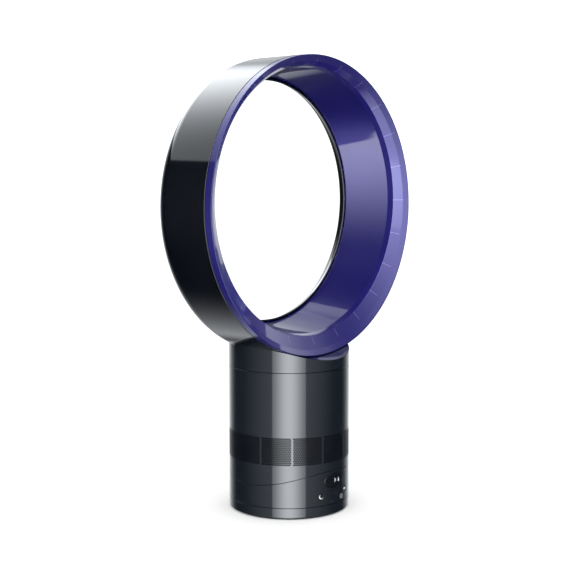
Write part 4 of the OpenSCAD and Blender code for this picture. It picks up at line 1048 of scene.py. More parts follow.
@dataclass
class Cap:
    """A dished oval key in the round wall."""

    wall_r: float
    angle: float
    z: float
    width: float
    height: float
    back_r: float
    dish: float
    edge: float = 0.35
    edge_steps: int = 6
    dish_power: float = 1.2
    columns: int = 72
    rings: int = 10

    def front(self, across: np.ndarray, up: np.ndarray) -> np.ndarray:
        """Gives points on the dished face.

        Args:
            across: Distance from the key's middle, to the right.
            up: Distance above it.

        Returns:
            Distance from the fan's axis, straight towards the viewer.
        """
        share = (across / (self.width / 2)) ** 2 + (up / (self.height / 2)) ** 2
        hollow = self.dish * np.clip(1 - share, 0, 1) ** self.dish_power
        return np.sqrt(self.wall_r ** 2 - across ** 2) - hollow

    def place(self, across: np.ndarray, up: np.ndarray, out: np.ndarray) -> np.ndarray:
        """Turns the key's own coordinates into the frame's.

        Args:
            across: To the right.
            up: Above the key's middle.
            out: From the fan's axis.

        Returns:
            Points in millimetres.
        """
        a = math.radians(self.angle)
        return np.stack([math.cos(a) * across + math.sin(a) * out,
                         math.sin(a) * across - math.cos(a) * out, self.z + up], -1)

    def build(self, name: str, body: str, node: str, paint: Paintbox) -> None:
        """Makes the key.

        Args:
            name: Name of the piece.
            body: Its body.
            node: Node that it stands for.
            paint: Materials.
        """
        turn = np.arange(self.columns) * 2 * np.pi / self.columns
        cos, sin = np.cos(turn), np.sin(turn)
        rows = []

        def row(inset: float, drop: float, out: float | None = None) -> None:
            """Adds a ring of points.

            Args:
                inset: How far it lies inside the key's outline.
                drop: How far below the key's face.
                out: Its distance from the fan's axis, where it isn't on the face.
            """
            across = (self.width / 2 - inset) * cos
            up = (self.height / 2 - inset) * sin
            face = self.front(across, up) - drop if out is None else np.full(len(turn), out)
            rows.append(self.place(across, up, face))

        small = min(self.width, self.height) / 2
        row(0.0, 0.0, self.back_r)
        for t in np.linspace(0, np.pi / 2, self.edge_steps):
            row(self.edge * (1 - math.cos(t)), self.edge * (1 - math.sin(t)))
        for share in np.linspace(0, 1, self.rings)[1:-1]:
            row(self.edge + (small - self.edge) * share, 0.0)
        skin = Skin()
        grid = np.stack(rows, 1)
        skin.grid(grid, flip=True)
        nought, n = np.zeros(1), self.columns
        front = self.place(nought, nought, self.front(nought, nought))[0]
        out = self.place(nought, nought - self.z, nought + 1)[0]
        tris = np.array([(i, (i + 1) % n, n) for i in range(n)])
        skin.add(np.concatenate([grid[:, -1], [front]]), np.tile(out, (n + 1, 1)), tris)
        back = grid[:, 0]
        skin.add(np.concatenate([back, [back.mean(0)]]), np.tile(-out, (n + 1, 1)), tris[:, ::-1])
        skin.make(name, body, [node], "key_gloss", paint)


@dataclass
class Signs:
    """Flat generic signs that are printed on the keys, in millimetres from a key's middle."""

    paint: Paintbox
    lift: float = 0.03
    sink: float = 0.05
    moon_r: float = 2.7
    moon_lean: float = 35.0
    moon_rim: tuple[float, float] = (58.0, 302.0)
    moon_bite: tuple[float, float] = (76.0, 284.0)
    bite_share: float = 0.86
    bite_shift: float = 0.36
    power_middle: tuple[float, float] = (0, -0.2)
    power_ring: tuple[float, float] = (2.0, 2.8)
    power_arc: tuple[float, float] = (120, 300)
    power_bar: tuple[float, float] = (0.2, 3.0)
    power_width: float = 0.8
    arrow_ends: tuple[float, float] = (0.5, 2.9)
    arrow_widths: tuple[float, float] = (2.9, 0.2)
    chevron_ends: tuple[float, float] = (0.6, 2.9)
    chevron_rise: float = 2.1
    chevron_width: float = 0.9
    wedge_x: float = 8.3
    wedge_rise: float = 2.3
    wedge_widths: tuple[float, float] = (2.6, 0.4)

    def slab(self, name: str, body: str, cap: Cap, flat: np.ndarray, colour: str) -> None:
        """Makes one thin sign from a grid of flat points.

        Args:
            name: Name of the piece.
            body: Body of the key.
            cap: Key that it lies on.
            flat: Points to the right of and above the key's middle, as column and row.
            colour: White or grey.
        """
        across, up = flat[..., 0], flat[..., 1]
        face = cap.front(across, up)
        high, low = (cap.place(across, up, face + lift) for lift in (self.lift, -self.sink))
        skin = Skin()
        skin.grid(high, around=False, flip=True)
        skin.grid(low, around=False)
        for end in (0, -1):
            skin.grid(np.stack([high[:, end], low[:, end]], 1), around=False, flip=end == -1)
        for end in (0, -1):
            skin.grid(np.stack([high[end], low[end]], 1), around=False, flip=end == 0)
        skin.make(name, body, [], "key_gloss", self.paint, colour)

    @staticmethod
    def arc(middle: tuple[float, float], inner: float, outer: float, start: float, span: float,
            steps: int = 40) -> np.ndarray:
        """Gives the points of a part of a ring.

        Args:
            middle: Its middle.
            inner: Inner radius.
            outer: Outer radius.
            start: Where it starts, in degrees from the right.
            span: How far it goes round.
            steps: Points along it.

        Returns:
            Flat points as column and row.
        """
        turn = np.radians(start + span * np.arange(steps) / (steps - 1))
        radius = np.array([outer, (inner + outer) / 2, inner])
        return np.stack([middle[0] + radius * np.cos(turn)[:, None],
                         middle[1] + radius * np.sin(turn)[:, None]], -1)

    @staticmethod
    def bar(start: tuple[float, float], end: tuple[float, float], first: float, last: float,
            steps: int = 6) -> np.ndarray:
        """Gives the points of a bar whose ends may differ in width.

        Args:
            start: Middle of its start.
            end: Middle of its end.
            first: Width at the start.
            last: Width at the end.
            steps: Points along it.

        Returns:
            Flat points as column and row.
        """
        a, b = np.array(start), np.array(end)
        side = np.array([-(b - a)[1], (b - a)[0]]) / np.linalg.norm(b - a) / 2
        share = np.linspace(0, 1, steps)[:, None, None]
        width = first + (last - first) * share
        return a + (b - a) * share + side * width * np.array([-1, 0, 1])[None, :, None]

    def crescent(self, steps: int = 28) -> np.ndarray:
        """Gives the points of a crescent that opens to the upper right.

        Args:
            steps: Points along it.

        Returns:
            Flat points as column and row.
        """
        lean = math.radians(self.moon_lean)
        rim, bite = (np.linspace(*np.radians(ends), steps) for ends in (self.moon_rim, self.moon_bite))
        outer = self.moon_r * np.stack([np.cos(rim), np.sin(rim)], -1)
        inner = self.moon_r * self.bite_share * np.stack([np.cos(bite), np.sin(bite)], -1)
        inner = inner + [self.moon_r * self.bite_shift, 0]
        grid = np.stack([outer, (outer + inner) / 2, inner], 1)
        spin = np.array([[math.cos(lean), math.sin(lean)], [-math.sin(lean), math.cos(lean)]])
        return grid @ spin

    def build(self, caps: dict[str, Cap], rocker: Cap) -> None:
        """Makes all signs.

        Args:
            caps: Round keys by name.
            rocker: The airflow rocker.
        """
        self.slab("sleep_sign", "timer_key", caps["timer"], self.crescent(), "white")
        self.slab("power_sign_ring", "power_key", caps["power"],
                  self.arc(self.power_middle, *self.power_ring, *self.power_arc), "grey")
        low, high = self.power_bar
        self.slab("power_sign_bar", "power_key", caps["power"],
                  self.bar((0, low), (0, high), self.power_width, self.power_width), "grey")
        near, tip = self.arrow_ends
        for side, name in ((-1, "left"), (1, "right")):
            self.slab(f"swivel_sign_{name}", "swivel_key", caps["swivel"],
                      self.bar((side * near, 0), (side * tip, 0), *self.arrow_widths), "white")
        near, tip = self.chevron_ends
        for side, name in ((-1, "low"), (1, "high")):
            arm = self.bar((near, side * self.chevron_rise), (tip, 0), self.chevron_width,
                           self.chevron_width)
            self.slab(f"airflow_sign_{name}", "airflow_key", rocker, arm, "white")
        wedge = self.bar((self.wedge_x, -self.wedge_rise), (self.wedge_x, self.wedge_rise),
                         *self.wedge_widths)
        self.slab("airflow_sign_wedge", "airflow_key", rocker, wedge, "white")


@dataclass
class MainCasing:
    """The tilting part's casing with its perforated band."""

    body: Body
    band_z: float = 65.1
    band_h: float = 33.4
    top_z: float = 175.4
    border: float = 0.6
    rows: int = 15
    columns: int = 180
    section: int = 15
    solid: int = 7
    hole_r: float = 1.12
    depth: float = 1.9
    edge: float = 0.35
    start_share: float = 0.25
    upper_points: tuple[int, ...] = (2, 1, 0, 11)
    lower_points: tuple[int, ...] = (4, 5, 6, 7)
    # The liner behind the band is partly painted shade: a near-black sheet that darkens the inside of the
    # intake.
    gauze_gap: float = 0.3
    gauze_depth: float = 0.4

    def rings(self, paint: Paintbox) -> None:
        """Makes the plain casing below and above the band.

        Args:
            paint: Materials.
        """
        body = self.body
        angle = body.angles()
        seam = body.seam(body.shoe_r)
        low, high = self.band_z - self.border, self.band_z + self.band_h + self.border
        flat = 0 * angle
        ends = (
            (seam(angle, body.bore_r), seam(angle, body.base_r), low + flat, (0, self.edge, 0, 0)),
            (high + flat, high + flat, self.top_z + flat, (0, 0, self.edge, self.edge)),
        )
        skin = Skin()
        for inner, outer, top, radii in ends:
            corners = ((body.bore_r, inner), (body.base_r, outer), (body.base_r, top), (body.bore_r, top))
            profile = np.stack([np.stack([flat + radius, z], -1) for radius, z in corners], 1)
            skin.turned(angle, soften(profile, radii))
        skin.make("body_casing", "main_body", ["main_casing"], "iron_gloss", paint)

    def band(self, paint: Paintbox) -> None:
        """Makes the band with its round holes between plain bars.

        Args:
            paint: Materials.
        """
        body = self.body
        pitch = 2 * np.pi * body.base_r / self.columns
        rise = self.band_h / self.rows
        tall = rise * 2 / 3
        corner = [(0, tall), (-pitch / 2, tall / 2), (-pitch / 2, -tall / 2),
                  (0, -tall), (pitch / 2, -tall / 2), (pitch / 2, tall / 2)]
        edge = np.array([point for a, b in zip(corner, corner[1:] + corner[:1])
                         for point in (a, tuple(np.mean([a, b], 0)))])
        turn = np.arctan2(edge[:, 1], edge[:, 0])
        hole = self.hole_r * np.stack([np.cos(turn), np.sin(turn)], -1)
        row, column = np.meshgrid(np.arange(self.rows), np.arange(self.columns), indexing="ij")
        x = (column + (row % 2) / 2 + self.start_share) * pitch
        z = self.band_z + (row + 0.5) * rise
        middle = np.stack([x, z], -1).reshape(-1, 2)
        plain = (column % self.section == self.solid).reshape(-1)
        skin = Skin()

        def lay(flat: np.ndarray, radius: float) -> np.ndarray:
            """Bends flat points round the casing."""
            return around_axis(flat[..., 0] / body.base_r, radius, flat[..., 1])

        def facing(flat: np.ndarray, side: int) -> np.ndarray:
            """Gives the normals of flat points."""
            return side * around_axis(flat[..., 0] / body.base_r, 1.0, 0 * flat[..., 1])

        back_r = body.base_r - self.depth
        count = len(edge)
        i = np.arange(count)
        j = (i + 1) % count
        quads = np.stack([i, j, count + j, count + i], -1)
        fan = np.stack([i, j, np.full(count, count)], -1)
        holed = middle[~plain]
        shape = np.concatenate([edge, hole])
        flat = (holed[:, None] + shape).reshape(-1, 2)
        step = np.arange(len(holed))[:, None, None]
        for radius, side in ((body.base_r, 1), (back_r, -1)):
            faces = (step * 2 * count + quads).reshape(-1, 4)
            skin.add(lay(flat, radius), facing(flat, side), faces if side > 0 else faces[:, ::-1])
        ring = (holed[:, None] + hole).reshape(-1, 2)
        inward = np.tile(-unit(hole), (len(holed), 1))
        along = around_axis(ring[:, 0] / body.base_r + np.pi / 2, 1.0, 0 * ring[:, 0])
        normals = unit(inward[:, :1] * along + inward[:, 1:] * np.array([0, 0, 1.0]))
        points = np.stack([lay(ring, body.base_r), lay(ring, back_r)], 1).reshape(-1, 3)
        wall = np.stack([2 * i, 2 * j, 2 * j + 1, 2 * i + 1], -1)
        skin.add(points, np.repeat(normals, 2, 0), (step * 2 * count + wall).reshape(-1, 4))
        flat = (middle[plain][:, None] + np.concatenate([edge, [(0, 0)]])).reshape(-1, 2)
        step = np.arange(plain.sum())[:, None, None]
        for radius, side in ((body.base_r, 1), (back_r, -1)):
            faces = (step * (count + 1) + fan).reshape(-1, 3)
            skin.add(lay(flat, radius), facing(flat, side), faces if side > 0 else faces[:, ::-1])
        self.borders(skin, middle, edge, lay, facing, back_r)
        skin.make("intake_band", "main_body", ["intake_grille"], "grille_black", paint)

    def borders(self, skin: Skin, middle: np.ndarray, edge: np.ndarray,
                lay: Callable[[np.ndarray, float], np.ndarray],
                facing: Callable[[np.ndarray, int], np.ndarray], back_r: float) -> None:
        """Fills the strips between the outermost cells and the plain casing.

        Args:
            skin: Skin of the band.
            middle: Middles of the cells.
            edge: Outline of a cell.
            lay: Bends flat points round the casing.
            facing: Gives their normals.
            back_r: Radius of the band's back.
        """
        for cells, line, picks in (
            (middle[-self.columns:], self.band_z + self.band_h + self.border, self.upper_points),
            (middle[:self.columns], self.band_z - self.border, self.lower_points),
        ):
            zigzag = (cells[:, None] + edge[list(picks)]).reshape(-1, 2)
            straight = np.column_stack([zigzag[:, 0], np.full(len(zigzag), line)])
            upper = line > self.band_z
            for radius, side in ((self.body.base_r, 1), (back_r, -1)):
                points = np.stack([lay(zigzag, radius), lay(straight, radius)], 1)
                flip = upper == (side < 0)
                normals = np.stack([facing(zigzag, side)] * 2, 1)
                skin.grid(points, flip=flip, first=normals[:, 0], last=normals[:, 1])
            rows = np.stack([lay(straight, self.body.base_r), lay(straight, back_r)], 1)
            skin.grid(rows, flip=not upper)

    def gauze_and_shade(self, paint: Paintbox) -> None:
        """Makes the fine dark liner behind the band, partly a real liner and partly painted shade: near
        black so the inside of the intake reads dark.

        Args:
            paint: Materials.
        """
        angle = self.body.angles()
        outer = self.body.bore_r - self.gauze_gap
        inner = outer - self.gauze_depth
        low, high = self.band_z - self.border, self.band_z + self.band_h + self.border
        corners = [(inner, low), (outer, low), (outer, high), (inner, high)]
        skin = Skin()
        skin.turned(angle, soften(np.tile(corners, (len(angle), 1, 1)), (0, 0, 0, 0)))
        # Near-black, almost glossless finish: painted shade inside the intake.
        skin.make("intake_gauze", "main_body", [], "grille_black", paint, "gauze_and_shade")

    def build(self, paint: Paintbox) -> None:
        """Makes the casing and its band.

        Args:
            paint: Materials.
        """
        self.rings(paint)
        self.band(paint)
        self.gauze_and_shade(paint)


@dataclass
class Loop:
    """The hollow loop: dark shell, violet shell and collar."""

    body: Body
    z: float = 369.6
    rise: float = 5.7
    outer_r: float = 179.4
    rim_r: float = 179.1
    front_y: float = -48.5
    rear_y: float = 48.5
    rim_y: float = -38.0
    rim_edge: float = 1.2
    seam: float = 0.45
    crease_r: float = 171.5
    crease_y: float = -44.5
    taper_y: float = -36.4
    taper_r: float = 161.2
    guide_y: float = -29.0
    guide_r: float = 159.0
    lip_y: float = 35.0
    lip_r: float = 147.0
    lip_draw: float = 1.9
    wall_r: float = 150.7
    shell: float = 2.2
    nose_outer: float = 24.4
    nose_inner: float = 9.0
    curl_r: float = 5.3
    collar_z: float = 175.8
    trough_front_r: float = 181.0
    trough_rear_r: float = 172.8
    edge_round: float = 0.35
    lip_rounds: tuple[float, float] = (0.6, 0.5)
    rim_rounds: tuple[float, float] = (0.45, 0.3)
    face_rounds: tuple[float, ...] = (1.0, 0.8, 0.6, 0.9, 0.35)
    face_steps: int = 6
    crest_share: float = 0.985
    halvings: int = 40
    curl_ends: tuple[float, float] = (180.0, 120.0)
    curl_steps: int = 7
    collar_edge: float = 0.35
    collar_inset: float = 0.5
    collar_gap: float = 0.15
    collar_steps: int = 6
    collar_rings: tuple[tuple[float, float, int], ...] = ((72.5, 60.0, 12), (57.0, 24.0, 10))
    steps: int = 360

    def theta(self) -> np.ndarray:
        """Gives the angles round the loop from its top, in radians."""
        return np.arange(self.steps) * 2 * np.pi / self.steps

    def about_opening(self, radius: Any) -> np.ndarray:
        """Turns a radius about the opening's middle into one about the loop's middle.

        Args:
            radius: Radius about the opening's middle.

        Returns:
            Radius about the loop's middle for each angle.
        """
        turn = self.theta()
        return self.rise * np.cos(turn) + np.sqrt(np.square(radius) - (self.rise * np.sin(turn)) ** 2)

    def place(self, profile: np.ndarray) -> np.ndarray:
        """Places a profile at each angle.

        Args:
            profile: Radius and depth, as an array of angle, row and coordinate.

        Returns:
            Points in millimetres.
        """
        turn = self.theta()[:, None]
        radius, y = profile[..., 0], profile[..., 1]
        return np.stack([radius * np.sin(turn), y, self.z + radius * np.cos(turn)], -1)

    def nose(self, drop: float, count: int = 22) -> list[np.ndarray]:
        """Gives the rounded rear of the dark shell, from the outside to the lip.

        Args:
            drop: How far below the outer surface.
            count: Steps in each rounding.

        Returns:
            Rows of radius and depth for each angle.
        """
        centre, y_out = self.outer_r - self.nose_outer, self.rear_y - self.nose_outer
        nose_r, y_in = self.lip_r + self.lip_draw + self.nose_inner, self.rear_y - self.nose_inner
        outer, inner = self.nose_outer - drop, self.nose_inner - drop
        cosine = np.cos(self.theta())

        def outside(radius: np.ndarray) -> np.ndarray:
            """Gives the depth of the outer rounding."""
            return y_out + np.sqrt(np.maximum(outer ** 2 - np.maximum(radius - centre, 0) ** 2, 0))

        def inside(radius: np.ndarray) -> np.ndarray:
            """Gives the depth of the inner rounding."""
            away = np.sqrt(radius ** 2 - 2 * radius * self.rise * cosine + self.rise ** 2)
            return y_in + np.sqrt(np.maximum(inner ** 2 - np.maximum(nose_r - away, 0) ** 2, 0))

        low, high = self.about_opening(nose_r - inner), self.about_opening(nose_r)
        for _ in range(self.halvings):
            crest = (low + high) / 2
            over = outside(crest) > inside(crest)
            low, high = np.where(over, crest, low), np.where(over, high, crest)
        turn_end = np.arccos(np.clip((crest - centre) / outer, 0, 1))
        lift_end = np.arcsin(np.clip((inside(crest) - y_in) / inner, 0, 1))
        rows = [np.stack([centre + outer * np.cos(turn_end * s),
                          y_out + outer * np.sin(turn_end * s)], -1)
                for s in np.linspace(0, self.crest_share, count)]
        rows += [np.stack([self.about_opening(nose_r - inner * np.cos(lift_end * s)),
                           y_in + inner * np.sin(lift_end * s)], -1)
                 for s in np.linspace(self.crest_share, 0, count)]
        return rows

    def around_both(self, points: Sequence[tuple[bool, float, float, float | None]]) -> tuple[list, list]:
        """Lays corners out for each angle.

        Args:
            points: For each corner, whether it belongs to the opening, its radius, its depth and
                its rounding.

        Returns:
            The corners and their roundings.
        """
        rows, radii = [], []
        for opening, radius, y, rounding in points:
            reach = self.about_opening(radius) if opening else np.full(self.steps, radius)
            rows.append(np.stack([reach, np.full(self.steps, y)], -1))
            radii.append(rounding)
        return rows, radii

    def dark_shell(self, paint: Paintbox) -> None:
        """Makes the dark outer shell with its lip.

        Args:
            paint: Materials.
        """
        start, first = self.around_both([
            (False, self.outer_r - self.shell, self.rim_y, 0),
            (False, self.outer_r, self.rim_y, self.edge_round),
        ])
        outer = self.nose(0)
        lip, round_lip = self.around_both([
            (True, self.lip_r, self.lip_y, self.lip_rounds[0]),
            (True, self.lip_r + self.shell, self.lip_y, self.lip_rounds[1]),
        ])
        inner = self.nose(self.shell)[::-1]
        rows = start + outer + lip + inner
        radii = first + [None] * len(outer) + round_lip + [None] * len(inner)
        skin = Skin()
        skin.grid(self.place(soften(np.stack(rows, 1), radii)), along=True)
        skin.make("loop_outer", "nozzle", ["nozzle_outer_shell"], "loop_black", paint)

    def violet_shell(self, paint: Paintbox) -> None:
        """Makes the violet shell with its rim, taper and wall.

        Args:
            paint: Materials.
        """
        shell, rim = self.shell, self.rim_r
        nose_r, y_in = self.lip_r + self.lip_draw + self.nose_inner, self.rear_y - self.nose_inner
        turns = [math.radians(a) for a in np.linspace(*self.curl_ends, self.curl_steps)]
        curl = [(math.cos(turn), math.sin(turn)) for turn in turns]
        small = self.curl_r - shell
        at_wall, at_guide, at_taper, at_crease, at_rim = self.face_rounds
        points = [
            (False, rim, self.front_y, self.rim_rounds[0]),
            (False, rim, self.rim_y - self.seam, self.rim_rounds[1]),
            (False, rim - shell, self.rim_y - self.seam, 0),
            (False, rim - shell, self.front_y + 2 * shell, 0),
            (True, self.taper_r + shell / 2, self.taper_y + shell, 0),
            (True, self.guide_r + shell, self.guide_y, 0), (True, self.wall_r + shell, self.lip_y, 0),
        ]
        points += [(True, nose_r + small * c, y_in + small * s, None) for c, s in curl]
        points += [(True, nose_r + self.curl_r * c, y_in + self.curl_r * s, None) for c, s in curl[::-1]]
        points += [
            (True, self.wall_r, self.lip_y, at_wall), (True, self.guide_r, self.guide_y, at_guide),
            (True, self.taper_r, self.taper_y, at_taper),
            (False, self.crease_r, self.crease_y, at_crease),
            (False, rim - self.rim_edge, self.front_y, at_rim),
        ]
        rows, radii = self.around_both(points)
        skin = Skin()
        skin.grid(self.place(soften(np.stack(rows, 1), radii, self.face_steps)), along=True)
        skin.make("loop_inner", "nozzle", ["nozzle_inner_shell"], "loop_violet", paint)

    def collar_top(self, points: np.ndarray) -> np.ndarray:
        """Gives the height of the collar's hollow top.

        Args:
            points: Points whose first two coordinates count.

        Returns:
            The height at each.
        """
        x, y = points[..., 0], points[..., 1]
        base, fall = self.body.base_r, self.trough_rear_r - self.trough_front_r
        trough = self.trough_front_r + fall * (y + base) / (2 * base)
        behind = np.clip(y - self.rear_y + self.nose_outer, 0, self.nose_outer)
        loop = self.outer_r - self.nose_outer + np.sqrt(self.nose_outer ** 2 - behind ** 2)
        loop = loop + self.collar_gap
        loop = np.where((y < self.front_y) | (y > self.rear_y), 0, loop)
        return self.z - np.sqrt(np.maximum(trough, loop) ** 2 - x ** 2)

    def collar(self, paint: Paintbox) -> None:
        """Makes the collar between the body and the loop.

        Args:
            paint: Materials.
        """
        body = self.body
        angle = body.angles()
        edge, inset, wall = self.collar_edge, self.collar_inset, body.base_r - body.bore_r

        def top(radius: float) -> np.ndarray:
            """Gives a ring of points on the collar's hollow top.

            Args:
                radius: Its radius.

            Returns:
                The points.
            """
            ring = around_axis(angle, radius, 0.0)
            ring[:, 2] = self.collar_top(ring)
            return ring

        outline = ((body.bore_r, 0), (body.base_r - edge, 0), (body.base_r, edge))
        rows = [around_axis(angle, radius, self.collar_z + rise) for radius, rise in outline]
        corner, inner = top(body.base_r), top(body.base_r - inset)
        start = corner - [0, 0, inset]
        for t in np.linspace(0, 1, self.collar_steps):
            rows.append((1 - t) ** 2 * start + 2 * t * (1 - t) * corner + t ** 2 * inner)
        radii = np.concatenate([np.linspace(*span) for span in self.collar_rings])
        tops = [top(radius) for radius in radii]
        under = [top(radius) - [0, 0, wall] for radius in radii[::-1] if radius < body.bore_r - inset]
        skin = Skin()
        skin.grid(np.stack(rows + tops + under, 1), along=True)
        skin.make("loop_collar", "nozzle", ["nozzle_collar"], "iron_gloss", paint)

    def build(self, paint: Paintbox) -> None:
        """Makes the loop.

        Args:
            paint: Materials.
        """
        self.dark_shell(paint)
        self.violet_shell(paint)
        self.collar(paint)


# Studio

@dataclass(frozen=True)
class Panels:
    """Soft light panels round the fan, which its gloss mirrors.

    Directions are in degrees: a side is an angle to either side of the camera, a turn is an angle
    to its right, and a height is an angle above level. The other numbers are strengths.
    """

    front_spread: float = 18.0
    front_strength: float = 5.6
    front_sides: Fade = Fade(31.2, 32.6, 1.0, 0.08)
    front_heights: Fade = Fade(-27.0, -18.5, 0.4, 1.0)
    fill_sides: Fade = Fade(32.0, 100.0, 0.4, 0.0)
    back_sides: Fade = Fade(118.0, 168.0, 0.0, 0.85)
    back_heights: Fade = Fade(24.0, 34.0, 1.0, 0.0)
    dip_sides: Fade = Fade(168.0, 174.0)
    dip_heights: Fade = Fade(2.0, -4.0, 0.3, 0.6)
    slit_heights: tuple[Fade, ...] = (Fade(-20.0, -17.0), Fade(-3.0, 2.0, 1.0, 0.0))
    flag_turns: tuple[Fade, ...] = (Fade(100.0, 110.0), Fade(146.6, 147.8, 1.0, 0.0))
    above_rise: Fade = Fade(110.0, 175.0, 0.0, 9.0)
    above_bottom: Fade = Fade(23.0, 24.0)
    above_drop: Fade = Fade(150.0, 157.0, 0.0, 12.0)
    above_top: Fade = Fade(46.5, 48.5, 1.0, 0.0)
    above_heights: Fade = Fade(46.5, 48.5, 1.0, 0.4)
    above_sides: tuple[Fade, ...] = (
        Fade(84.0, 90.0), Fade(90.0, 150.0, 0.8, 3.2), Fade(160.0, 172.0, 1.0, 0.4),
    )
    above_right: Fade = Fade(84.0, 124.0)
    above_left: Fade = Fade(10.0, -10.0)
    above_turns: tuple[Fade, ...] = (Fade(-173.0, -168.0, 0.55, 1.0), Fade(170.0, 175.0, 1.0, 0.4))
    below_heights: tuple[Fade, ...] = (Fade(-18.0, -40.0), Fade(-47.0, -50.0, 1.0, 0.0))
    below_sides: tuple[Fade, ...] = (Fade(110.0, 176.0, 0.0, 0.85), Fade(158.0, 170.0, 1.0, 0.05))
    ground: float = 0.01

    def front(self, side: Wire, height: Wire) -> Wire:
        """Gives the bright panel by the camera and the fill beside it.

        Args:
            side: Angle to either side of the camera.
            height: Angle above level.

        Returns:
            The strength.
        """
        panel = side.bell(0.0, self.front_spread) * self.front_strength
        panel = panel * self.front_sides.over(side) * self.front_heights.over(height)
        return panel + self.fill_sides.over(side)

    def back(self, side: Wire, height: Wire, flag: Wire) -> Wire:
        """Gives the wide panel behind the fan, with its dip and the slit beside the flag.

        Args:
            side: Angle to either side of the camera.
            height: Angle above level.
            flag: One behind the dark flag and nought beside it.

        Returns:
            The strength.
        """
        dip = self.dip_sides.over(side) * self.dip_heights.over(height)
        panel = self.back_sides.over(side) * (1 - dip) * self.back_heights.over(abs(height))
        return panel * (1 - flag * (1 - faded(height, self.slit_heights)))

    def above(self, turn: Wire, side: Wire, height: Wire) -> Wire:
        """Gives the band above the panel behind the fan.

        Args:
            turn: Angle to the camera's right.
            side: Angle to either side of it.
            height: Angle above level.

        Returns:
            The strength.
        """
        bottom = self.above_bottom.over(height + self.above_rise.over(side))
        top = self.above_top.over(height - self.above_drop.over(side))
        ends = self.above_right.over(turn).most(self.above_left.over(turn))
        band = bottom * top * self.above_heights.over(height) * faded(side, self.above_sides)
        return band * ends * faded(turn, self.above_turns)

    def strength(self, turn: Wire, height: Wire) -> Wire:
        """Gives the strength of all panels together.

        Args:
            turn: Angle to the camera's right.
            height: Angle above level.

        Returns:
            The strength.
        """
        side = abs(turn)
        flag = faded(turn, self.flag_turns)
        below = faded(height, self.below_heights) * faded(side, self.below_sides)
        beyond = self.above(turn, side, height).most(below) * (1 - flag)
        return self.front(side, height) + self.back(side, height, flag).most(beyond) + self.ground


@dataclass(frozen=True)
class Cards:
    """Light cards on a dome that only the shells of the loop mirror, in the panels' degrees."""

    card_edge: Fade = Fade(-44.0, -53.0, -80.3, -86.6)
    card_softness: Fade = Fade(-0.7, 0.7)
    card_turns: Fade = Fade(-40.0, -55.0)
    card_heights: Fade = Fade(42.0, -58.0, 0.0, 4.6)
    lobe_turn: float = 31.0
    lobe_spread: float = 17.0
    lobe_heights: Fade = Fade(-45.0, -8.0, 1.0, 1.95)
    ahead_turns: tuple[Fade, ...] = (Fade(-60.0, -40.0), Fade(60.0, 85.0, 0.5, 0.12))
    side_turns: tuple[Fade, ...] = (Fade(96.0, 126.0, 0.0, 1.5), Fade(127.0, 128.0, 1.0, 0.0))
    side_heights: Fade = Fade(6.0, 13.0)
    low_turns: tuple[Fade, ...] = (Fade(118.0, 138.0), Fade(141.0, 142.0, 1.0, 0.0))
    low_heights: Fade = Fade(-30.0, -36.0, 0.0, 0.6)

    def strength(self, turn: Wire, height: Wire) -> Wire:
        """Gives the strength of all cards together.

        Args:
            turn: Angle to the camera's right.
            height: Angle above level.

        Returns:
            The strength.
        """
        card = self.card_softness.over(turn - self.card_edge.over(height))
        card = card * self.card_turns.over(turn) * self.card_heights.over(height)
        lobe = turn.bell(self.lobe_turn, self.lobe_spread) * self.lobe_heights.over(height)
        side = faded(turn, self.side_turns) * self.side_heights.over(height)
        low = faded(turn, self.low_turns) * self.low_heights.over(height)
        return card + lobe + faded(turn, self.ahead_turns) + side + low


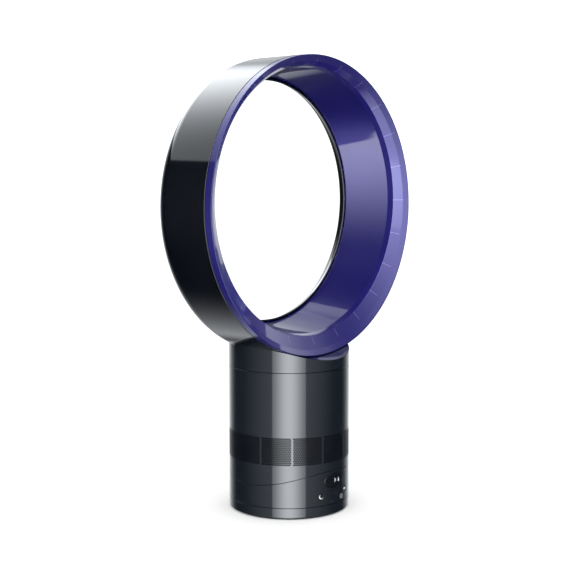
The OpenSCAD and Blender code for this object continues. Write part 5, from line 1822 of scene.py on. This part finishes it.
@dataclass
class Studio:
    """Camera, floor and soft light."""

    azimuth: float = 47.89
    pitch: float = 5.42
    place: tuple[float, float, float] = (-1.0711, -0.9681, 0.4064)
    sensor: float = 36.0
    lens: float = 73.93
    frame_size: int = 576
    floor_r: float = 14.0
    floor_steps: int = 96
    floor_tones: tuple[Colour, Colour] = ((0.90, 0.90, 0.90), (0.92, 0.92, 0.92))
    floor_mottle: float = 3.0
    floor_roughness: float = 0.9
    soft_light: float = 1.5
    panel_tint: Colour = (0.92, 0.96, 1.0)
    dome_r: float = 9.0
    dome_rows: int = 24
    dome_columns: int = 48
    dome_reach: float = 89.0

    def camera(self) -> None:
        """Sets up the camera at the photograph's viewing angle."""
        data = bpy.data.cameras.new("camera")
        data.sensor_width = self.sensor
        data.lens = self.lens
        data.shift_x = -1 / self.frame_size
        camera = hang("camera", data)
        camera.location = self.place
        camera.rotation_euler = (math.radians(90 - self.pitch), 0, math.radians(-self.azimuth))
        bpy.context.scene.camera = camera

    def floor(self) -> None:
        """Lays a plain pale floor that glossy pieces don't mirror."""
        ring = np.column_stack([circle(self.floor_r, self.floor_steps), np.zeros(self.floor_steps)])
        mesh = bpy.data.meshes.new("floor")
        mesh.from_pydata(ring.tolist(), [], [list(range(self.floor_steps))])
        made, shade = blank_material("floor_pale")
        tone = shade.mix(shade.noise(self.floor_mottle), *self.floor_tones)
        shader = shade.node("ShaderNodeBsdfPrincipled", None, {
            "Base Color": tone, "Roughness": self.floor_roughness, "Specular IOR Level": 0.0,
        })
        shade.node("ShaderNodeOutputMaterial", None, {"Surface": shader})
        mesh.materials.append(made)
        floor = hang("floor", mesh)
        floor.visible_glossy = False

    def bearings(self, shade: Shade, direction: Wire) -> tuple[Wire, Wire]:
        """Turns a direction into bearings as the camera's place gives them.

        Args:
            shade: Tree that the nodes go to.
            direction: The direction.

        Returns:
            Degrees round from the camera, positive to its right, and degrees above level.
        """
        unit_way = shade.node("ShaderNodeVectorMath", {"operation": "NORMALIZE"}, {0: direction})
        x, y, z = shade.axes(unit_way)
        turn = math.radians(self.azimuth)
        ahead = x * -math.sin(turn) + y * -math.cos(turn)
        side = x * math.cos(turn) + y * -math.sin(turn)
        degree = 180 / math.pi
        return side.math("ARCTAN2", ahead) * degree, z.math("ARCSINE") * degree

    def light(self) -> None:
        """Lights the scene evenly from all round, with the panels for the gloss alone."""
        world = bpy.data.worlds.new("studio")
        world.use_nodes = True
        bpy.context.scene.world = world
        shade = Shade(world.node_tree)
        turn, height = self.bearings(shade, shade.node("ShaderNodeTexCoord", out="Generated"))
        gloss = shade.node("ShaderNodeLightPath", out="Is Glossy Ray")
        strength = gloss * Panels().strength(turn, height) + (1 - gloss) * self.soft_light
        tint = shade.mix(gloss, (1.0, 1.0, 1.0), self.panel_tint)
        surface = shade.node("ShaderNodeBackground", None, {"Color": tint, "Strength": strength})
        shade.node("ShaderNodeOutputWorld", None, {"Surface": surface})
        bpy.context.scene.view_settings.view_transform = "Standard"

    def dome(self) -> bpy.types.Object:
        """Makes the dome that carries the cards.

        Returns:
            The dome.
        """
        rows, columns = self.dome_rows, self.dome_columns
        height = np.radians(np.linspace(-self.dome_reach, self.dome_reach, rows))[None, :, None]
        turn = (np.arange(columns) * 2 * np.pi / columns)[:, None, None]
        level = np.cos(height)
        points = self.dome_r * np.concatenate(
            [np.cos(turn) * level, np.sin(turn) * level, np.sin(height) + 0 * turn], -1)
        i, j = np.arange(columns)[:, None], np.arange(rows - 1)[None, :]
        k = (i + 1) % columns
        quads = np.stack([i * rows + j, k * rows + j, k * rows + j + 1, i * rows + j + 1], -1)
        mesh = bpy.data.meshes.new("glow_dome")
        mesh.from_pydata(points.reshape(-1, 3).tolist(), [], quads.reshape(-1, 4).tolist())
        made, shade = blank_material("glow_dome")
        strength = Cards().strength(*self.bearings(shade, shade.place()))
        light = shade.node("ShaderNodeEmission", None, {"Strength": strength})
        clear = shade.node("ShaderNodeBsdfTransparent")
        both = shade.node("ShaderNodeAddShader", None, {0: light, 1: clear})
        shade.node("ShaderNodeOutputMaterial", None, {"Surface": both})
        made.cycles.emission_sampling = "NONE"
        mesh.materials.append(made)
        return hang("glow_dome", mesh)

    def glow(self, names: Sequence[str]) -> None:
        """Hangs the dome so that only some pieces mirror it.

        Args:
            names: Pieces that mirror it.
        """
        dome = self.dome()
        for ray in ("camera", "diffuse", "transmission", "shadow", "volume_scatter"):
            setattr(dome, f"visible_{ray}", False)
        mirrors = bpy.data.collections.new("mirrors_of_the_glow")
        dome.light_linking.receiver_collection = mirrors
        for name in names:
            mirrors.objects.link(bpy.data.objects[name])

    def build(self) -> None:
        """Sets the scene."""
        self.camera()
        self.floor()
        self.light()


def main() -> None:
    """Builds the studio and the fan."""
    studio = Studio()
    studio.build()
    paint = Paintbox()
    paint.dress_frame()
    body = Body()
    for part in (Foot(body), Controls(body), MainCasing(body), Loop(body)):
        part.build(paint)
        LOG.info("built %s", type(part).__name__)
    studio.glow(("loop_inner", "loop_outer"))


if __name__ == "__main__":
    main()
